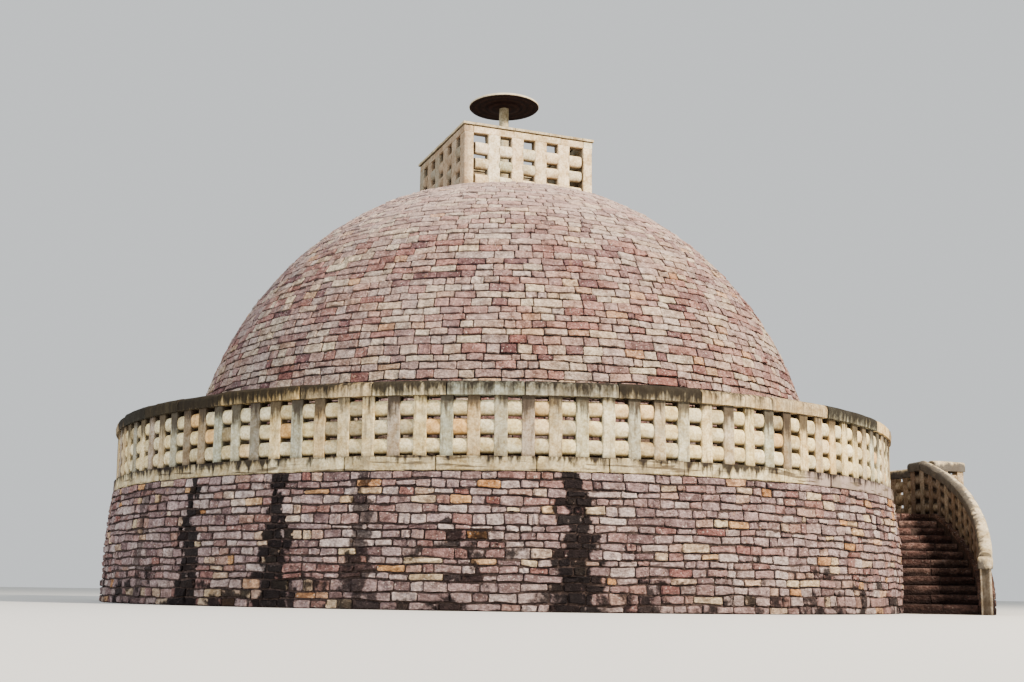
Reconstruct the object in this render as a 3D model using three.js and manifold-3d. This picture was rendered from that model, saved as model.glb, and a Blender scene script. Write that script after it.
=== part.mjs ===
// A masonry stupa at its real size: a round drum, a dome cut flat on top, a stone railing round the
// drum's rim, a square railing and an umbrella on the dome, and a double stair up to a landing.
// Millimetres, +Z up. The origin is the centre of the drum on the ground, and the landing faces -Y.
// Plan angles are in degrees from -Y, positive towards +X.

import * as THREE from "three";
import { mergeVertices } from "three/addons/utils/BufferGeometryUtils.js";
import Module from "manifold-3d";

const wasm = await Module();
wasm.setup();

// Driving dimensions.
const GAP = 0.3; // between pieces that touch
const SLOPE_GAP = 0.8; // between a post and a sloping piece, whose faces twist a little
const JOINT = 1; // between a straight coping and the curved one that it meets
const BURY = 20; // how far the steps run into the wall beside them before the two are made one
const LAP = 0.5; // degrees that a step runs into the next higher one, for the same reason

const DRUM_PROFILE = [
  [7545, 0],
  [7500, 1250],
  [7420, 1975],
]; // radius and height: the wall leans in, more towards its top
const DRUM_SIDES = 144; // each as wide as a step of the stairs

const DOME_R = 6100;
const DOME_RISE = 6500; // half height of the ellipse that the dome follows
const DOME_SPRING_Z = 1880; // the ellipse's middle, a little below the drum's top
const DOME_TOP_Z = 7840; // the flat top that carries the square railing
const DOME_SIDES = 90;
const DOME_STEPS = 16;

const GATE_ANGLE = 6; // from the landing's middle to the rim railing's first post
const BAYS = 115; // in the rim railing, from the first post round to the last
const RIM_ARCS = 5; // kerb, railing and coping are each made in five arcs

const KERB = { inner: 7160, outer: 7440, height: 210 };
const RIM_POST = { width: 190, depth: 190, outer: 7400, height: 880 };
const RIM_COPING = { inner: 7165, outer: 7445, height: 220, chamfer: 70 };
const BAR_THICK = 0.92; // thickness of a crossbar, as a share of its posts' depth
const BAR_FLAT = 0.4; // upright part of a crossbar's face, as a share of its height
const BAR_SHARE = 0.262; // height of one of the three crossbars, as a share of the clear height
const BAR_LEVELS = [0.174, 0.487, 0.8]; // crossbar centres, as shares of the clear height

const HARMIKA = { side: 2730, bays: 5, post: 250, depth: 190, beamTop: 9240, beamHeight: 130 };
const HARMIKA_CAP = { height: 65, overhang: 30 };
const HARMIKA_BARS = [
  [8070, 8300],
  [8400, 8620],
  [8700, 8940],
]; // foot and top of each crossbar

const SHAFT_R = 100;
const SHAFT_SIDES = 24;
const UMBRELLA = { radius: 730, underside: 10265, thickness: 100, bossRadius: 330, bossDrop: 25 };
const UMBRELLA_RIM = 50; // height of its rounded rim
const UMBRELLA_SIDES = 40;

const STEPS = 12;
const LANDING_SIDES = 11; // sides of the drum that the landing takes
const STRINGER_INNER = 8800;
const STRINGER_OUTER = 9040;
const STRINGER_FOOT = 340; // height of its top at the lowest step
const STRINGER_LEVEL = 4.35; // degrees past the landing where its top starts to fall

const STAIR_RAIL_R = 8930;
const STAIR_POST = 165;
const NEWEL = 180;
const STAIR_COPING = { width: 220, height: 200, chamfer: 60 };
const STAIR_COPING_TOP = 3110;
const NEWEL_COPING_TOP = 975;
const COPING_BULGE = 150; // how far the sloping coping rises over a straight line at mid length
const COPING_END = 60; // overhang past a last post

const PORCH_X = 2160; // centre line of the landing's side rails
const PORCH_Y = -9500; // centre line of its front rail
const PORCH_BAYS = 11;
const PORCH_EDGE = 120; // floor beyond the rails' centre line

// Worked out from them.
const { degToRad, radToDeg, lerp } = THREE.MathUtils;
const DRUM_TOP = DRUM_PROFILE.at(-1)[1];
const bayAngle = (360 - 2 * GATE_ANGLE) / BAYS;
const arcBays = BAYS / RIM_ARCS;
const kerbTop = DRUM_TOP + KERB.height;
const rimCopingFoot = kerbTop + RIM_POST.height;
const rimPostR = RIM_POST.outer - RIM_POST.depth / 2;
const sideAngle = 360 / DRUM_SIDES;
const landingAngle = (LANDING_SIDES * sideAngle) / 2;
const footAngle = landingAngle + STEPS * sideAngle;
const fallAngle = landingAngle + STRINGER_LEVEL;
const newelAngle = footAngle + radToDeg((NEWEL / 2 + GAP) / (STAIR_RAIL_R - NEWEL / 2));
const stepAngles = evenly(landingAngle, footAngle, STEPS);
const stairPostAngles = [landingAngle - sideAngle, ...stepAngles.slice(0, -1), newelAngle];
const porchCopingFoot = STAIR_COPING_TOP - STAIR_COPING.height;
const stairCopingSection = copingProfile(STAIR_COPING);

const STONE = {
  drum: { color: 0x8f7772, roughness: 0.95, metalness: 0 },
  dome: { color: 0xb09a92, roughness: 0.95, metalness: 0 },
  railing: { color: 0xd6c6a2, roughness: 0.9, metalness: 0 },
  harmika: { color: 0xe4cfae, roughness: 0.9, metalness: 0 },
  umbrella: { color: 0x8d7a6c, roughness: 0.9, metalness: 0 },
  stair: { color: 0x7c645d, roughness: 0.95, metalness: 0 },
};

const stupa = new THREE.Group();

function addMesh(name, geometry, stone) {
  geometry.computeVertexNormals();
  const mesh = new THREE.Mesh(geometry, new THREE.MeshStandardMaterial(STONE[stone]));
  mesh.name = name;
  stupa.add(mesh);
  return mesh;
}

function evenly(from, to, steps) {
  return Array.from({ length: steps + 1 }, (_, i) => from + ((to - from) * i) / steps);
}

function inPlan(angle, radius) {
  return new THREE.Vector2(radius * Math.sin(degToRad(angle)), -radius * Math.cos(degToRad(angle)));
}

function polar(angle, radius, z) {
  const { x, y } = inPlan(angle, radius);
  return new THREE.Vector3(x, y, z);
}

// The direction of the ring at a plan angle, anticlockwise from above.
function tangent(angle) {
  return new THREE.Vector2(Math.cos(degToRad(angle)), Math.sin(degToRad(angle)));
}

// The section of a coping as [across, up] pairs: flat below, with its two top edges cut off.
function copingProfile({ width, height, chamfer }) {
  const half = width / 2;
  return [
    [-half, 0],
    [half, 0],
    [half, height - chamfer],
    [half - chamfer, height],
    [-half + chamfer, height],
    [-half, height - chamfer],
  ];
}

function outlineOf(profile) {
  return profile.map(([u, v]) => new THREE.Vector2(u, v));
}

function surface(points, triangles) {
  const geometry = new THREE.BufferGeometry();
  const positions = points.flatMap((p) => p.toArray());
  geometry.setAttribute("position", new THREE.Float32BufferAttribute(positions, 3));
  return geometry.setIndex(triangles.flat());
}

// A closed solid through rings of points, whose ends have the shape of the outline.
function loft(rings, outline) {
  const count = outline.length;
  const points = rings.flat();
  const triangles = [];
  for (let k = 0; k + 1 < rings.length; k++)
    for (let i = 0; i < count; i++) {
      const a = k * count + i;
      const b = k * count + ((i + 1) % count);
      triangles.push([a, b, b + count], [a, b + count, a + count]);
    }
  const last = (rings.length - 1) * count;
  const clockwise = THREE.ShapeUtils.isClockWise(outline);
  for (const corners of THREE.ShapeUtils.triangulateShape(outline, [])) {
    const [a, b, c] = clockwise ? corners.toReversed() : corners;
    triangles.push([c, b, a], [a + last, b + last, c + last]);
  }
  const sixfold = ([a, b, c]) => points[a].dot(points[b].clone().cross(points[c]));
  const insideOut = triangles.reduce((sum, corners) => sum + sixfold(corners), 0) < 0;
  return surface(points, insideOut ? triangles.map((corners) => corners.toReversed()) : triangles);
}

// A profile of [radius, z] pairs carried round the axis through a list of plan angles.
function arcSolid(profile, angles) {
  const rings = angles.map((a) => profile.map(([r, z]) => polar(a, r, z)));
  return loft(rings, outlineOf(profile));
}

function latheOf(profile, sides, firstAngle = 0) {
  const geometry = new THREE.LatheGeometry(outlineOf(profile), sides, degToRad(firstAngle));
  return geometry.rotateX(Math.PI / 2);
}

function toSolid(geometry) {
  const merged = mergeVertices(geometry, 1e-3);
  return new wasm.Manifold(
    new wasm.Mesh({
      numProp: 3,
      vertProperties: merged.attributes.position.array,
      triVerts: new Uint32Array(merged.index.array),
    }),
  );
}

function toGeometry(solid) {
  const { vertProperties, triVerts } = solid.getMesh();
  const geometry = new THREE.BufferGeometry();
  geometry.setAttribute("position", new THREE.Float32BufferAttribute(vertProperties, 3));
  return geometry.setIndex(Array.from(triVerts));
}

// A closed surface that is put together face by face.
class Skin {
  points = [];
  triangles = [];

  add(points) {
    const first = this.points.length;
    this.points.push(...points);
    return points.map((_, i) => first + i);
  }

  // A flat face that looks one way, given by the numbers of its corners and of its holes' corners.
  face(loop, direction, holes = []) {
    const isLevel = direction.x === 0 && direction.y === 0;
    const across = new THREE.Vector3(isLevel ? 1 : -direction.y, direction.x, 0);
    const up = direction.clone().cross(across);
    const flattened = (ids) =>
      ids.map((i) => new THREE.Vector2(this.points[i].dot(across), this.points[i].dot(up)));
    const numbers = [loop, ...holes].flat();
    for (const corners of THREE.ShapeUtils.triangulateShape(flattened(loop), holes.map(flattened))) {
      const ids = corners.map((i) => numbers[i]);
      const [p, q, r] = ids.map((i) => this.points[i]);
      const normal = q.clone().sub(p).cross(r.clone().sub(p));
      this.triangles.push(normal.dot(direction) > 0 ? ids : ids.toReversed());
    }
  }
}

// The corners of a crossbar's section, as shares of its thickness and height: upright faces inside
// and outside, that slope to an edge above and below.
const BAR = [
  [0.5, -BAR_FLAT / 2],
  [0.5, BAR_FLAT / 2],
  [0, 0.5],
  [-0.5, BAR_FLAT / 2],
  [-0.5, -BAR_FLAT / 2],
  [0, -0.5],
];

// A row of posts joined by crossbars, as one closed surface. A post has its centre and the row's
// direction in plan, its width along the row and depth across it, the heights of its foot and top
// over a point in plan, and its bars' centres and heights. A post that belongs to another piece, at
// an end of the row, isn't made: the bars stop a gap short of its face.
function lattice(posts) {
  const skin = new Skin();
  const outward = posts.map(({ along }) => new THREE.Vector3(along.y, -along.x, 0));

  function inPost(k, t, u) {
    const { at, along } = posts[k];
    return at.clone().addScaledVector(along, t).addScaledVector(outward[k], u);
  }

  // The sections of the bars on the face of a post that looks to its neighbour.
  function sections(k, neighbour) {
    const { at, width, depth, bars, isOther } = posts[k];
    const reach = width / 2 + (isOther ? GAP : 0);
    const share = reach / at.distanceTo(posts[neighbour].at);
    return bars.map(({ centre, height }, n) => {
      const middle = lerp(centre, posts[neighbour].bars[n].centre, share);
      const ring = BAR.map(([u, v]) => {
        const { x, y } = inPost(k, neighbour > k ? reach : -reach, u * BAR_THICK * depth);
        return new THREE.Vector3(x, y, middle + v * height);
      });
      return skin.add(ring);
    });
  }

  function addBar(near, far, side) {
    BAR.forEach(([u, v], i) => {
      const j = (i + 1) % BAR.length;
      const direction = side.clone().multiplyScalar(u + BAR[j][0]);
      direction.z = v + BAR[j][1];
      skin.face([near[i], near[j], far[j], far[i]], direction);
    });
  }

  function addPost(k, forward, backward, ahead, behind) {
    const { width, depth, foot, top } = posts[k];
    const [t, u] = [width / 2, depth / 2];
    const plan = [inPost(k, -t, -u), inPost(k, -t, u), inPost(k, t, u), inPost(k, t, -u)];
    const low = skin.add(plan.map((p) => new THREE.Vector3(p.x, p.y, foot(p))));
    const high = skin.add(plan.map((p) => new THREE.Vector3(p.x, p.y, top(p))));
    skin.face([low[0], low[1], high[1], high[0]], backward, behind);
    skin.face([low[2], low[3], high[3], high[2]], forward, ahead);
    skin.face([low[1], low[2], high[2], high[1]], outward[k]);
    skin.face([low[3], low[0], high[0], high[3]], outward[k].clone().negate());
    skin.face(low, new THREE.Vector3(0, 0, -1));
    skin.face(high, new THREE.Vector3(0, 0, 1));
  }

  let reached = [];
  posts.forEach(({ along, isOther }, k) => {
    const forward = new THREE.Vector3(along.x, along.y, 0);
    const backward = forward.clone().negate();
    const behind = k > 0 ? sections(k, k - 1) : [];
    const ahead = k + 1 < posts.length ? sections(k, k + 1) : [];
    behind.forEach((ring, n) => addBar(reached[n], ring, outward[k]));
    if (isOther) {
      for (const ring of behind) skin.face(ring, forward);
      for (const ring of ahead) skin.face(ring, backward);
    } else addPost(k, forward, backward, ahead, behind);
    reached = ahead;
  });
  return surface(skin.points, skin.triangles);
}

// Three crossbars that fill the height between a foot and a top.
function crossbars(foot, top) {
  const clear = top - foot;
  return BAR_LEVELS.map((level) => ({ centre: foot + level * clear, height: BAR_SHARE * clear }));
}

function drumRadius(z) {
  const k = DRUM_PROFILE.findIndex(([, height], i) => i > 0 && z <= height);
  const [[r0, z0], [r1, z1]] = [DRUM_PROFILE[k - 1], DRUM_PROFILE[k]];
  return lerp(r0, r1, (z - z0) / (z1 - z0));
}

function drum() {
  const profile = [[0, 0], ...DRUM_PROFILE, [0, DRUM_TOP]];
  addMesh("drum", latheOf(profile, DRUM_SIDES, sideAngle / 2), "drum");
}

function dome() {
  const foot = DRUM_TOP + GAP;
  const topTurn = Math.asin((DOME_TOP_Z - DOME_SPRING_Z) / DOME_RISE);
  const curve = evenly(0, topTurn, DOME_STEPS).map((turn) => [
    DOME_R * Math.cos(turn),
    DOME_SPRING_Z + DOME_RISE * Math.sin(turn),
  ]);
  const profile = [[0, foot], [DOME_R, foot], ...curve, [0, DOME_TOP_Z]];
  addMesh("dome", latheOf(profile, DOME_SIDES), "dome");
}

// Where the posts of one of the rim's arcs stand, the first of the next arc among them.
function arcPostAngles(arc) {
  const from = GATE_ANGLE + arc * arcBays * bayAngle;
  return evenly(from, from + arcBays * bayAngle, arcBays);
}

function rimArcs() {
  const kerb = [
    [KERB.inner, DRUM_TOP + GAP],
    [KERB.outer, DRUM_TOP + GAP],
    [KERB.outer, kerbTop],
    [KERB.inner, kerbTop],
  ];
  const { inner, outer } = RIM_COPING;
  const section = copingProfile({ width: outer - inner, ...RIM_COPING });
  const coping = section.map(([u, v]) => [(outer + inner) / 2 + u, rimCopingFoot + v]);
  const jointAngle = radToDeg(GAP / 2 / KERB.inner);
  const endAngle = radToDeg(RIM_POST.width / 2 / rimPostR);
  for (let k = 0; k < RIM_ARCS; k++) {
    const angles = arcPostAngles(k);
    angles[0] += k === 0 ? -endAngle : jointAngle;
    angles[angles.length - 1] += k === RIM_ARCS - 1 ? endAngle : -jointAngle;
    addMesh(`rim_kerb_${k + 1}`, arcSolid(kerb, angles), "railing");
    addMesh(`rim_coping_${k + 1}`, arcSolid(coping, angles), "railing");
  }
}

function rimPost(angle) {
  return {
    at: inPlan(angle, rimPostR),
    along: tangent(angle),
    width: RIM_POST.width,
    depth: RIM_POST.depth,
    foot: () => kerbTop + GAP,
    top: () => rimCopingFoot - GAP,
    bars: crossbars(kerbTop, rimCopingFoot),
  };
}

function rimRailing() {
  for (let k = 0; k < RIM_ARCS; k++) {
    const posts = arcPostAngles(k).map(rimPost);
    posts.at(-1).isOther = k < RIM_ARCS - 1;
    addMesh(`rim_railing_${k + 1}`, lattice(posts), "railing");
  }
}

// The side of the square railing that faces -Y. Two of the sides have the corner posts, and the
// bars of the other two end against them.
function harmikaSide(hasCorners) {
  const { side, bays, post, depth, beamTop, beamHeight } = HARMIKA;
  const reach = (side - post) / 2;
  const bars = HARMIKA_BARS.map(([low, high]) => ({ centre: (low + high) / 2, height: high - low }));
  const posts = evenly(-reach, reach, bays).map((x) => ({
    at: new THREE.Vector2(x, (depth - side) / 2),
    along: new THREE.Vector2(1, 0),
    width: post,
    depth,
    foot: () => DOME_TOP_Z + GAP,
    top: () => beamTop - beamHeight - GAP,
    bars,
  }));
  if (!hasCorners)
    for (const end of [posts[0], posts.at(-1)]) {
      end.isOther = true;
      end.width = depth;
      end.at.x = (Math.sign(end.at.x) * (side - depth)) / 2;
    }
  return lattice(posts);
}

// A quarter of the square beam over it: its ends are mitred on the diagonals.
function harmikaBeam() {
  const { side, depth, beamTop, beamHeight } = HARMIKA;
  const { height, overhang } = HARMIKA_CAP;
  const outer = side / 2;
  const inner = outer - depth;
  const foot = beamTop - beamHeight;
  const section = [
    [inner, foot],
    [outer, foot],
    [outer, beamTop],
    [outer + overhang, beamTop],
    [outer + overhang, beamTop + height],
    [inner - overhang, beamTop + height],
    [inner - overhang, beamTop],
    [inner, beamTop],
  ];
  const mitre = GAP / Math.SQRT2;
  const end = (sign) => section.map(([u, z]) => new THREE.Vector3(sign * (u - mitre), -u, z));
  return loft([end(-1), end(1)], outlineOf(section));
}

function harmika() {
  ["front", "right", "back", "left"].forEach((name, turn) => {
    const spin = (turn * Math.PI) / 2;
    addMesh(`harmika_${name}`, harmikaSide(turn % 2 === 0).rotateZ(spin), "harmika");
    addMesh(`harmika_beam_${name}`, harmikaBeam().rotateZ(spin), "harmika");
  });
}

function umbrella() {
  const { radius, underside, thickness, bossRadius, bossDrop } = UMBRELLA;
  const foot = DOME_TOP_Z + GAP;
  const top = underside - bossDrop - GAP;
  const shaft = new THREE.CylinderGeometry(SHAFT_R, SHAFT_R, top - foot, SHAFT_SIDES);
  shaft.rotateX(Math.PI / 2).translate(0, 0, (top + foot) / 2);
  addMesh("umbrella_shaft", shaft, "umbrella");
  const disc = [
    [0, underside - bossDrop],
    [bossRadius, underside - bossDrop],
    [bossRadius + bossDrop, underside],
    [radius - UMBRELLA_RIM / 4, underside],
    [radius, underside + UMBRELLA_RIM / 3],
    [radius - UMBRELLA_RIM / 2, underside + UMBRELLA_RIM],
    [radius * 0.6, underside + thickness * 0.85],
    [0, underside + thickness],
  ];
  addMesh("umbrella_disc", latheOf(disc, UMBRELLA_SIDES), "umbrella");
}

// The landing: a stretch of the ring between the flights, with a square porch in front of it.
function landing() {
  const angles = evenly(-landingAngle, landingAngle, LANDING_SIDES);
  const shoulder = inPlan(landingAngle, STRINGER_OUTER + GAP / Math.cos(degToRad(landingAngle)));
  const halfWidth = PORCH_X + PORCH_EDGE;
  const front = outlineOf([
    [shoulder.x, shoulder.y],
    [halfWidth, shoulder.y],
    [halfWidth, PORCH_Y - PORCH_EDGE],
    [-halfWidth, PORCH_Y - PORCH_EDGE],
    [-halfWidth, shoulder.y],
    [-shoulder.x, shoulder.y],
  ]);
  const plan = (z) => [...angles.map((a) => inPlan(a, drumRadius(z) + GAP)), ...front];
  const rings = DRUM_PROFILE.map(([, z]) => plan(z).map(({ x, y }) => new THREE.Vector3(x, y, z)));
  addMesh("landing", loft(rings, plan(0)), "stair");
}

// Height of the top of the wall beside the steps.
function stringerTop(angle) {
  const share = Math.max(0, (angle - fallAngle) / (footAngle - fallAngle));
  return lerp(DRUM_TOP, STRINGER_FOOT, share);
}

// The flight at -X: its steps, each a block against a side of the drum, and the wall beside them.
function flight() {
  const start = landingAngle + radToDeg(GAP / drumRadius(DRUM_TOP));
  const stations = [start, ...stepAngles.slice(1)];
  const steps = stations.slice(1).map((end, i) => {
    const top = (DRUM_TOP * (STEPS - i)) / STEPS;
    const heights = [top, ...DRUM_PROFILE.map(([, z]) => z).toReversed()].filter(
      (z, n) => n === 0 || z < top,
    );
    const againstDrum = heights.map((z) => [drumRadius(z) + GAP, z]);
    const outer = STRINGER_INNER + BURY;
    const block = [...againstDrum, [outer, 0], [outer, top]];
    const angles = i === 0 ? [-start, -end] : [LAP - stations[i], -stations[i], -end];
    return toSolid(arcSolid(block, angles));
  });
  const bends = [...stations, fallAngle].sort((a, b) => a - b);
  const section = (top) => [
    [STRINGER_INNER, 0],
    [STRINGER_OUTER, 0],
    [STRINGER_OUTER, top],
    [STRINGER_INNER, top],
  ];
  const rings = bends.map((a) => section(stringerTop(a)).map(([r, z]) => polar(-a, r, z)));
  const wall = toSolid(loft(rings, outlineOf(section(DRUM_TOP))));
  return steps.reduce((sum, step) => sum.add(step), wall);
}

// Top of the outer rail's coping: level over the landing, then down in a shallow curve.
function stairCopingTop(angle) {
  const share = Math.max(0, (angle - landingAngle) / (newelAngle - landingAngle));
  return lerp(STAIR_COPING_TOP, NEWEL_COPING_TOP, share) + COPING_BULGE * 4 * share * (1 - share);
}

function stairCoping(side) {
  const overhang = radToDeg((NEWEL / 2 + COPING_END) / STAIR_RAIL_R);
  const angles = [stairPostAngles[0] - overhang, ...stairPostAngles.slice(1), newelAngle + overhang];
  const rings = angles.map((a) => {
    const foot = stairCopingTop(a) - STAIR_COPING.height;
    return stairCopingSection.map(([u, v]) => polar(side * a, STAIR_RAIL_R + u, foot + v));
  });
  return loft(rings, outlineOf(stairCopingSection));
}

// Height where a vertical line from above or below first meets a mesh.
function heightOn(mesh, { x, y }, down) {
  const start = new THREE.Vector3(x, y, down ? DOME_TOP_Z : -1);
  const ray = new THREE.Raycaster(start, new THREE.Vector3(0, 0, down ? -1 : 1));
  return ray.intersectObject(mesh)[0].point.z;
}

// The posts of an outer rail: a level stub past the landing's corner, the slope and the newel.
function stairPosts(side, steps, coping) {
  return stairPostAngles.map((angle) => {
    const isNewel = angle === newelAngle;
    const size = isNewel ? NEWEL : STAIR_POST;
    const levelFoot = isNewel ? 0 : DRUM_TOP + GAP;
    const isSloping = angle > fallAngle && !isNewel;
    return {
      at: inPlan(side * angle, STAIR_RAIL_R),
      along: tangent(side * angle).multiplyScalar(side),
      width: size,
      depth: size,
      foot: isSloping ? (p) => heightOn(steps, p, true) + SLOPE_GAP : () => levelFoot,
      top: (p) => heightOn(coping, p, false) - SLOPE_GAP,
      bars: crossbars(stringerTop(angle), stairCopingTop(angle) - STAIR_COPING.height),
    };
  });
}

function porchPost(x, y, along) {
  return {
    at: new THREE.Vector2(x, y),
    along,
    width: STAIR_POST,
    depth: STAIR_POST,
    foot: () => DRUM_TOP + GAP,
    top: () => porchCopingFoot - GAP,
    bars: crossbars(DRUM_TOP, porchCopingFoot),
  };
}

function porchFront() {
  const posts = evenly(-PORCH_X, PORCH_X, PORCH_BAYS).map((x) =>
    porchPost(x, PORCH_Y, new THREE.Vector2(1, 0)),
  );
  addMesh("porch_rail_front", lattice(posts), "railing");
  const end = PORCH_X - STAIR_COPING.width / 2 - GAP;
  const rings = [-end, end].map((x) =>
    stairCopingSection.map(([u, v]) => new THREE.Vector3(x, PORCH_Y + u, porchCopingFoot + v)),
  );
  addMesh("porch_coping_front", loft(rings, outlineOf(stairCopingSection)), "railing");
}

// A side rail of the porch, from the front rail's corner post to the stair rail's corner post.
function porchSide(side, stairPost) {
  const inward = new THREE.Vector2(0, 1);
  const corner = { ...porchPost(side * PORCH_X, PORCH_Y, inward), isOther: true };
  const middle = porchPost(side * PORCH_X, (PORCH_Y + stairPost.at.y) / 2, inward);
  const towardsAxis = stairPost.at.clone().normalize().negate();
  return lattice([corner, middle, { ...stairPost, along: towardsAxis, isOther: true }]);
}

function porchSideCoping(side) {
  const stop = STAIR_RAIL_R + STAIR_COPING.width / 2 + JOINT;
  const section = (yAt) =>
    stairCopingSection.map(([u, v]) => {
      const x = side * PORCH_X + u;
      return new THREE.Vector3(x, yAt(x), porchCopingFoot + v);
    });
  const front = section(() => PORCH_Y - STAIR_COPING.width / 2);
  const back = section((x) => -Math.sqrt(stop ** 2 - x ** 2));
  return loft([front, back], outlineOf(stairCopingSection));
}

function stairs() {
  const left = flight();
  for (const [name, side, solid] of [
    ["left", -1, left],
    ["right", 1, left.mirror([1, 0, 0])],
  ]) {
    const steps = addMesh(`stair_${name}`, toGeometry(solid), "stair");
    const coping = addMesh(`stair_coping_${name}`, stairCoping(side), "railing");
    const posts = stairPosts(side, steps, coping);
    addMesh(`stair_rail_${name}`, lattice(posts), "railing");
    addMesh(`porch_rail_${name}`, porchSide(side, posts[1]), "railing");
    addMesh(`porch_coping_${name}`, porchSideCoping(side), "railing");
  }
}

drum();
dome();
rimArcs();
rimRailing();
harmika();
umbrella();
landing();
stairs();
porchFront();

export default stupa;
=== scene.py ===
"""A masonry stupa: rough stone courses, a weathered stone railing, and a double stair up to its landing."""

import math

import bpy
import numpy as np
from mathutils import Euler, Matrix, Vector


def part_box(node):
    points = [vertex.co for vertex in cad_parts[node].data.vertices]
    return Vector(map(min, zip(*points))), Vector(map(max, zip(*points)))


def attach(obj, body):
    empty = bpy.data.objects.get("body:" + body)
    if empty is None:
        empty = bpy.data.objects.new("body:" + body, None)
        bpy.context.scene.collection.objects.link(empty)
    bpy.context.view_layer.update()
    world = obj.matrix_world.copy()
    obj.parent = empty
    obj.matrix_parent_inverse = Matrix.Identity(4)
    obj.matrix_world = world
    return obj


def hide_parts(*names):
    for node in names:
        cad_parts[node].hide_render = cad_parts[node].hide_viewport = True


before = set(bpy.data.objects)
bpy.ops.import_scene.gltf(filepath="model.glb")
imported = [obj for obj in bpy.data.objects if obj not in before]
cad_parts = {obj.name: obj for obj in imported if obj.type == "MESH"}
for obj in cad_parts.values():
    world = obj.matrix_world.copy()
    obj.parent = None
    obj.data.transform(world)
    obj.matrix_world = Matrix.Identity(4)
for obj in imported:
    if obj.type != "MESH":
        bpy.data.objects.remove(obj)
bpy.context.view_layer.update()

# Sizes in metres, the same as the solids'. Plan angles are in degrees from -Y, positive towards +X.
DRUM_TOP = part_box("drum")[1].z
DRUM_WALL = ((7.545, 0.0), (7.5, 1.25), (7.42, DRUM_TOP))  # radius and height
DOME_R = 6.1
DOME_RISE = 6.5
DOME_SPRING = 1.88
DOME_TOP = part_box("dome")[1].z
GATE_ANGLE = 6
BAYS = 115
BAY = (360 - 2 * GATE_ANGLE) / BAYS
KERB = (7.16, 7.44)  # inner and outer radius
KERB_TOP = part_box("rim_kerb_1")[1].z
RIM_COPING = (7.165, 7.445)
RIM_COPING_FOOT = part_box("rim_coping_1")[0].z
RIM_COPING_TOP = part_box("rim_coping_1")[1].z
RIM_POST = 0.19
RIM_POST_R = 7.305
BAR_LEVELS = (0.174, 0.487, 0.8)  # where the crossbars lie, as shares of the clear height
BAR_SHARE = 0.268  # height of a crossbar, as a share of the clear height
BAR_BULGE = 0.93  # thickness of a crossbar, as a share of its posts' depth
BAR_HOUSED = 0.015  # how far a crossbar's end runs into its post

HARMIKA = 2.73
HARMIKA_POST = 0.25
HARMIKA_DEPTH = 0.19
HARMIKA_BAYS = 5
HARMIKA_BEAM = (9.11, 9.24)
HARMIKA_CAP_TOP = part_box("harmika_beam_front")[1].z
HARMIKA_OVERHANG = 0.03
HARMIKA_BARS = ((8.07, 8.3), (8.4, 8.62), (8.7, 8.94))  # foot and top of each
HARMIKA_BULGE = 1.12
UMBRELLA_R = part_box("umbrella_disc")[1].x
UMBRELLA_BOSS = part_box("umbrella_disc")[0].z
UMBRELLA_FOOT = UMBRELLA_BOSS + 0.025
UMBRELLA_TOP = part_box("umbrella_disc")[1].z
SHAFT_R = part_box("umbrella_shaft")[1].y

STEPS = 12
LANDING_ANGLE = 13.75
STEP_ANGLE = 2.5
FOOT_ANGLE = LANDING_ANGLE + STEPS * STEP_ANGLE
FALL_ANGLE = LANDING_ANGLE + 4.35
STRINGER_IN = 8.8
STRINGER_OUT = 9.04
STRINGER_FOOT = 0.34
STAIR_RAIL_R = 8.93
STAIR_POST = 0.165
STAIR_WORN = 0.014  # how much of the posts' corners is cut off
STAIR_BAR_SLIM = 0.96  # height of the stair's crossbars, as a share of the rim's
STAIR_BAR_BULGE = 0.84
NEWEL = 0.18
NEWEL_ANGLE = FOOT_ANGLE + math.degrees(0.0903 / 8.84)
RAIL_ANGLES = [LANDING_ANGLE + k * STEP_ANGLE for k in range(-1, STEPS)] + [NEWEL_ANGLE]
STAIR_COPING = (0.22, 0.2)  # width and height
STAIR_COPING_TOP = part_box("stair_coping_left")[1].z
NEWEL_COPING_TOP = 0.975
COPING_BULGE = 0.15
PORCH_X = 2.16
PORCH_Y = -9.5
PORCH_BAYS = 11
PORCH_EDGE = 0.12
PORCH_BAR = 0.17

# Each course's mean height, and how much it varies.
DRUM_COURSES = (0.125, 0.14)
DOME_COURSES = (0.15, 0.08)
STAIR_COURSES = (0.145, 0.14)
# Each stone's mean length, and how much it varies.
DRUM_LENGTHS = (0.285, 0.33)
DOME_LENGTHS = (0.3, 0.3)
CROWN_LENGTHS = (0.45, 0.3)
WALKWAY_LENGTHS = (0.5, 0.3)
RIM_LENGTHS = (3.2, 0.22)  # in bays
BEAM_LENGTHS = (0.9, 0.2)
CAP_LENGTHS = (0.75, 0.2)
STEP_LENGTHS = (0.55, 0.3)
STAIR_LENGTHS = (0.32, 0.38)
STRINGER_LENGTHS = (0.5, 0.2)
LANDING_LENGTHS = (0.6, 0.3)

PROUD = 0.026  # how far the stones' faces stand out of the mortar that the solids stand for
BEDDED = 0.012  # how far their sides run into it
LEAST_PROUD = 0.003
PAVING_PROUD = 0.6  # how far paving stands out, as a share of what the walls' stones do
JOINT = 0.01
COURSE_WAVES = (3, 8, 19, 47)  # waves of a course line in its length
WAVE_SUM = 1.5  # brings their sum to about the waviness


def srgb(code):
    """A hex colour as the linear values that a shader takes."""
    channels = [int(code[i : i + 2], 16) / 255 for i in (1, 3, 5)]
    return [c / 12.92 if c <= 0.04045 else ((c + 0.055) / 1.055) ** 2.4 for c in channels] + [1.0]


def share(low, high, value):
    """How far a value is from low to high, as a share."""
    return (value - low) / (high - low)


def mix(low, high, t):
    """The value at a share of the way from low to high."""
    return low + (high - low) * t


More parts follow.
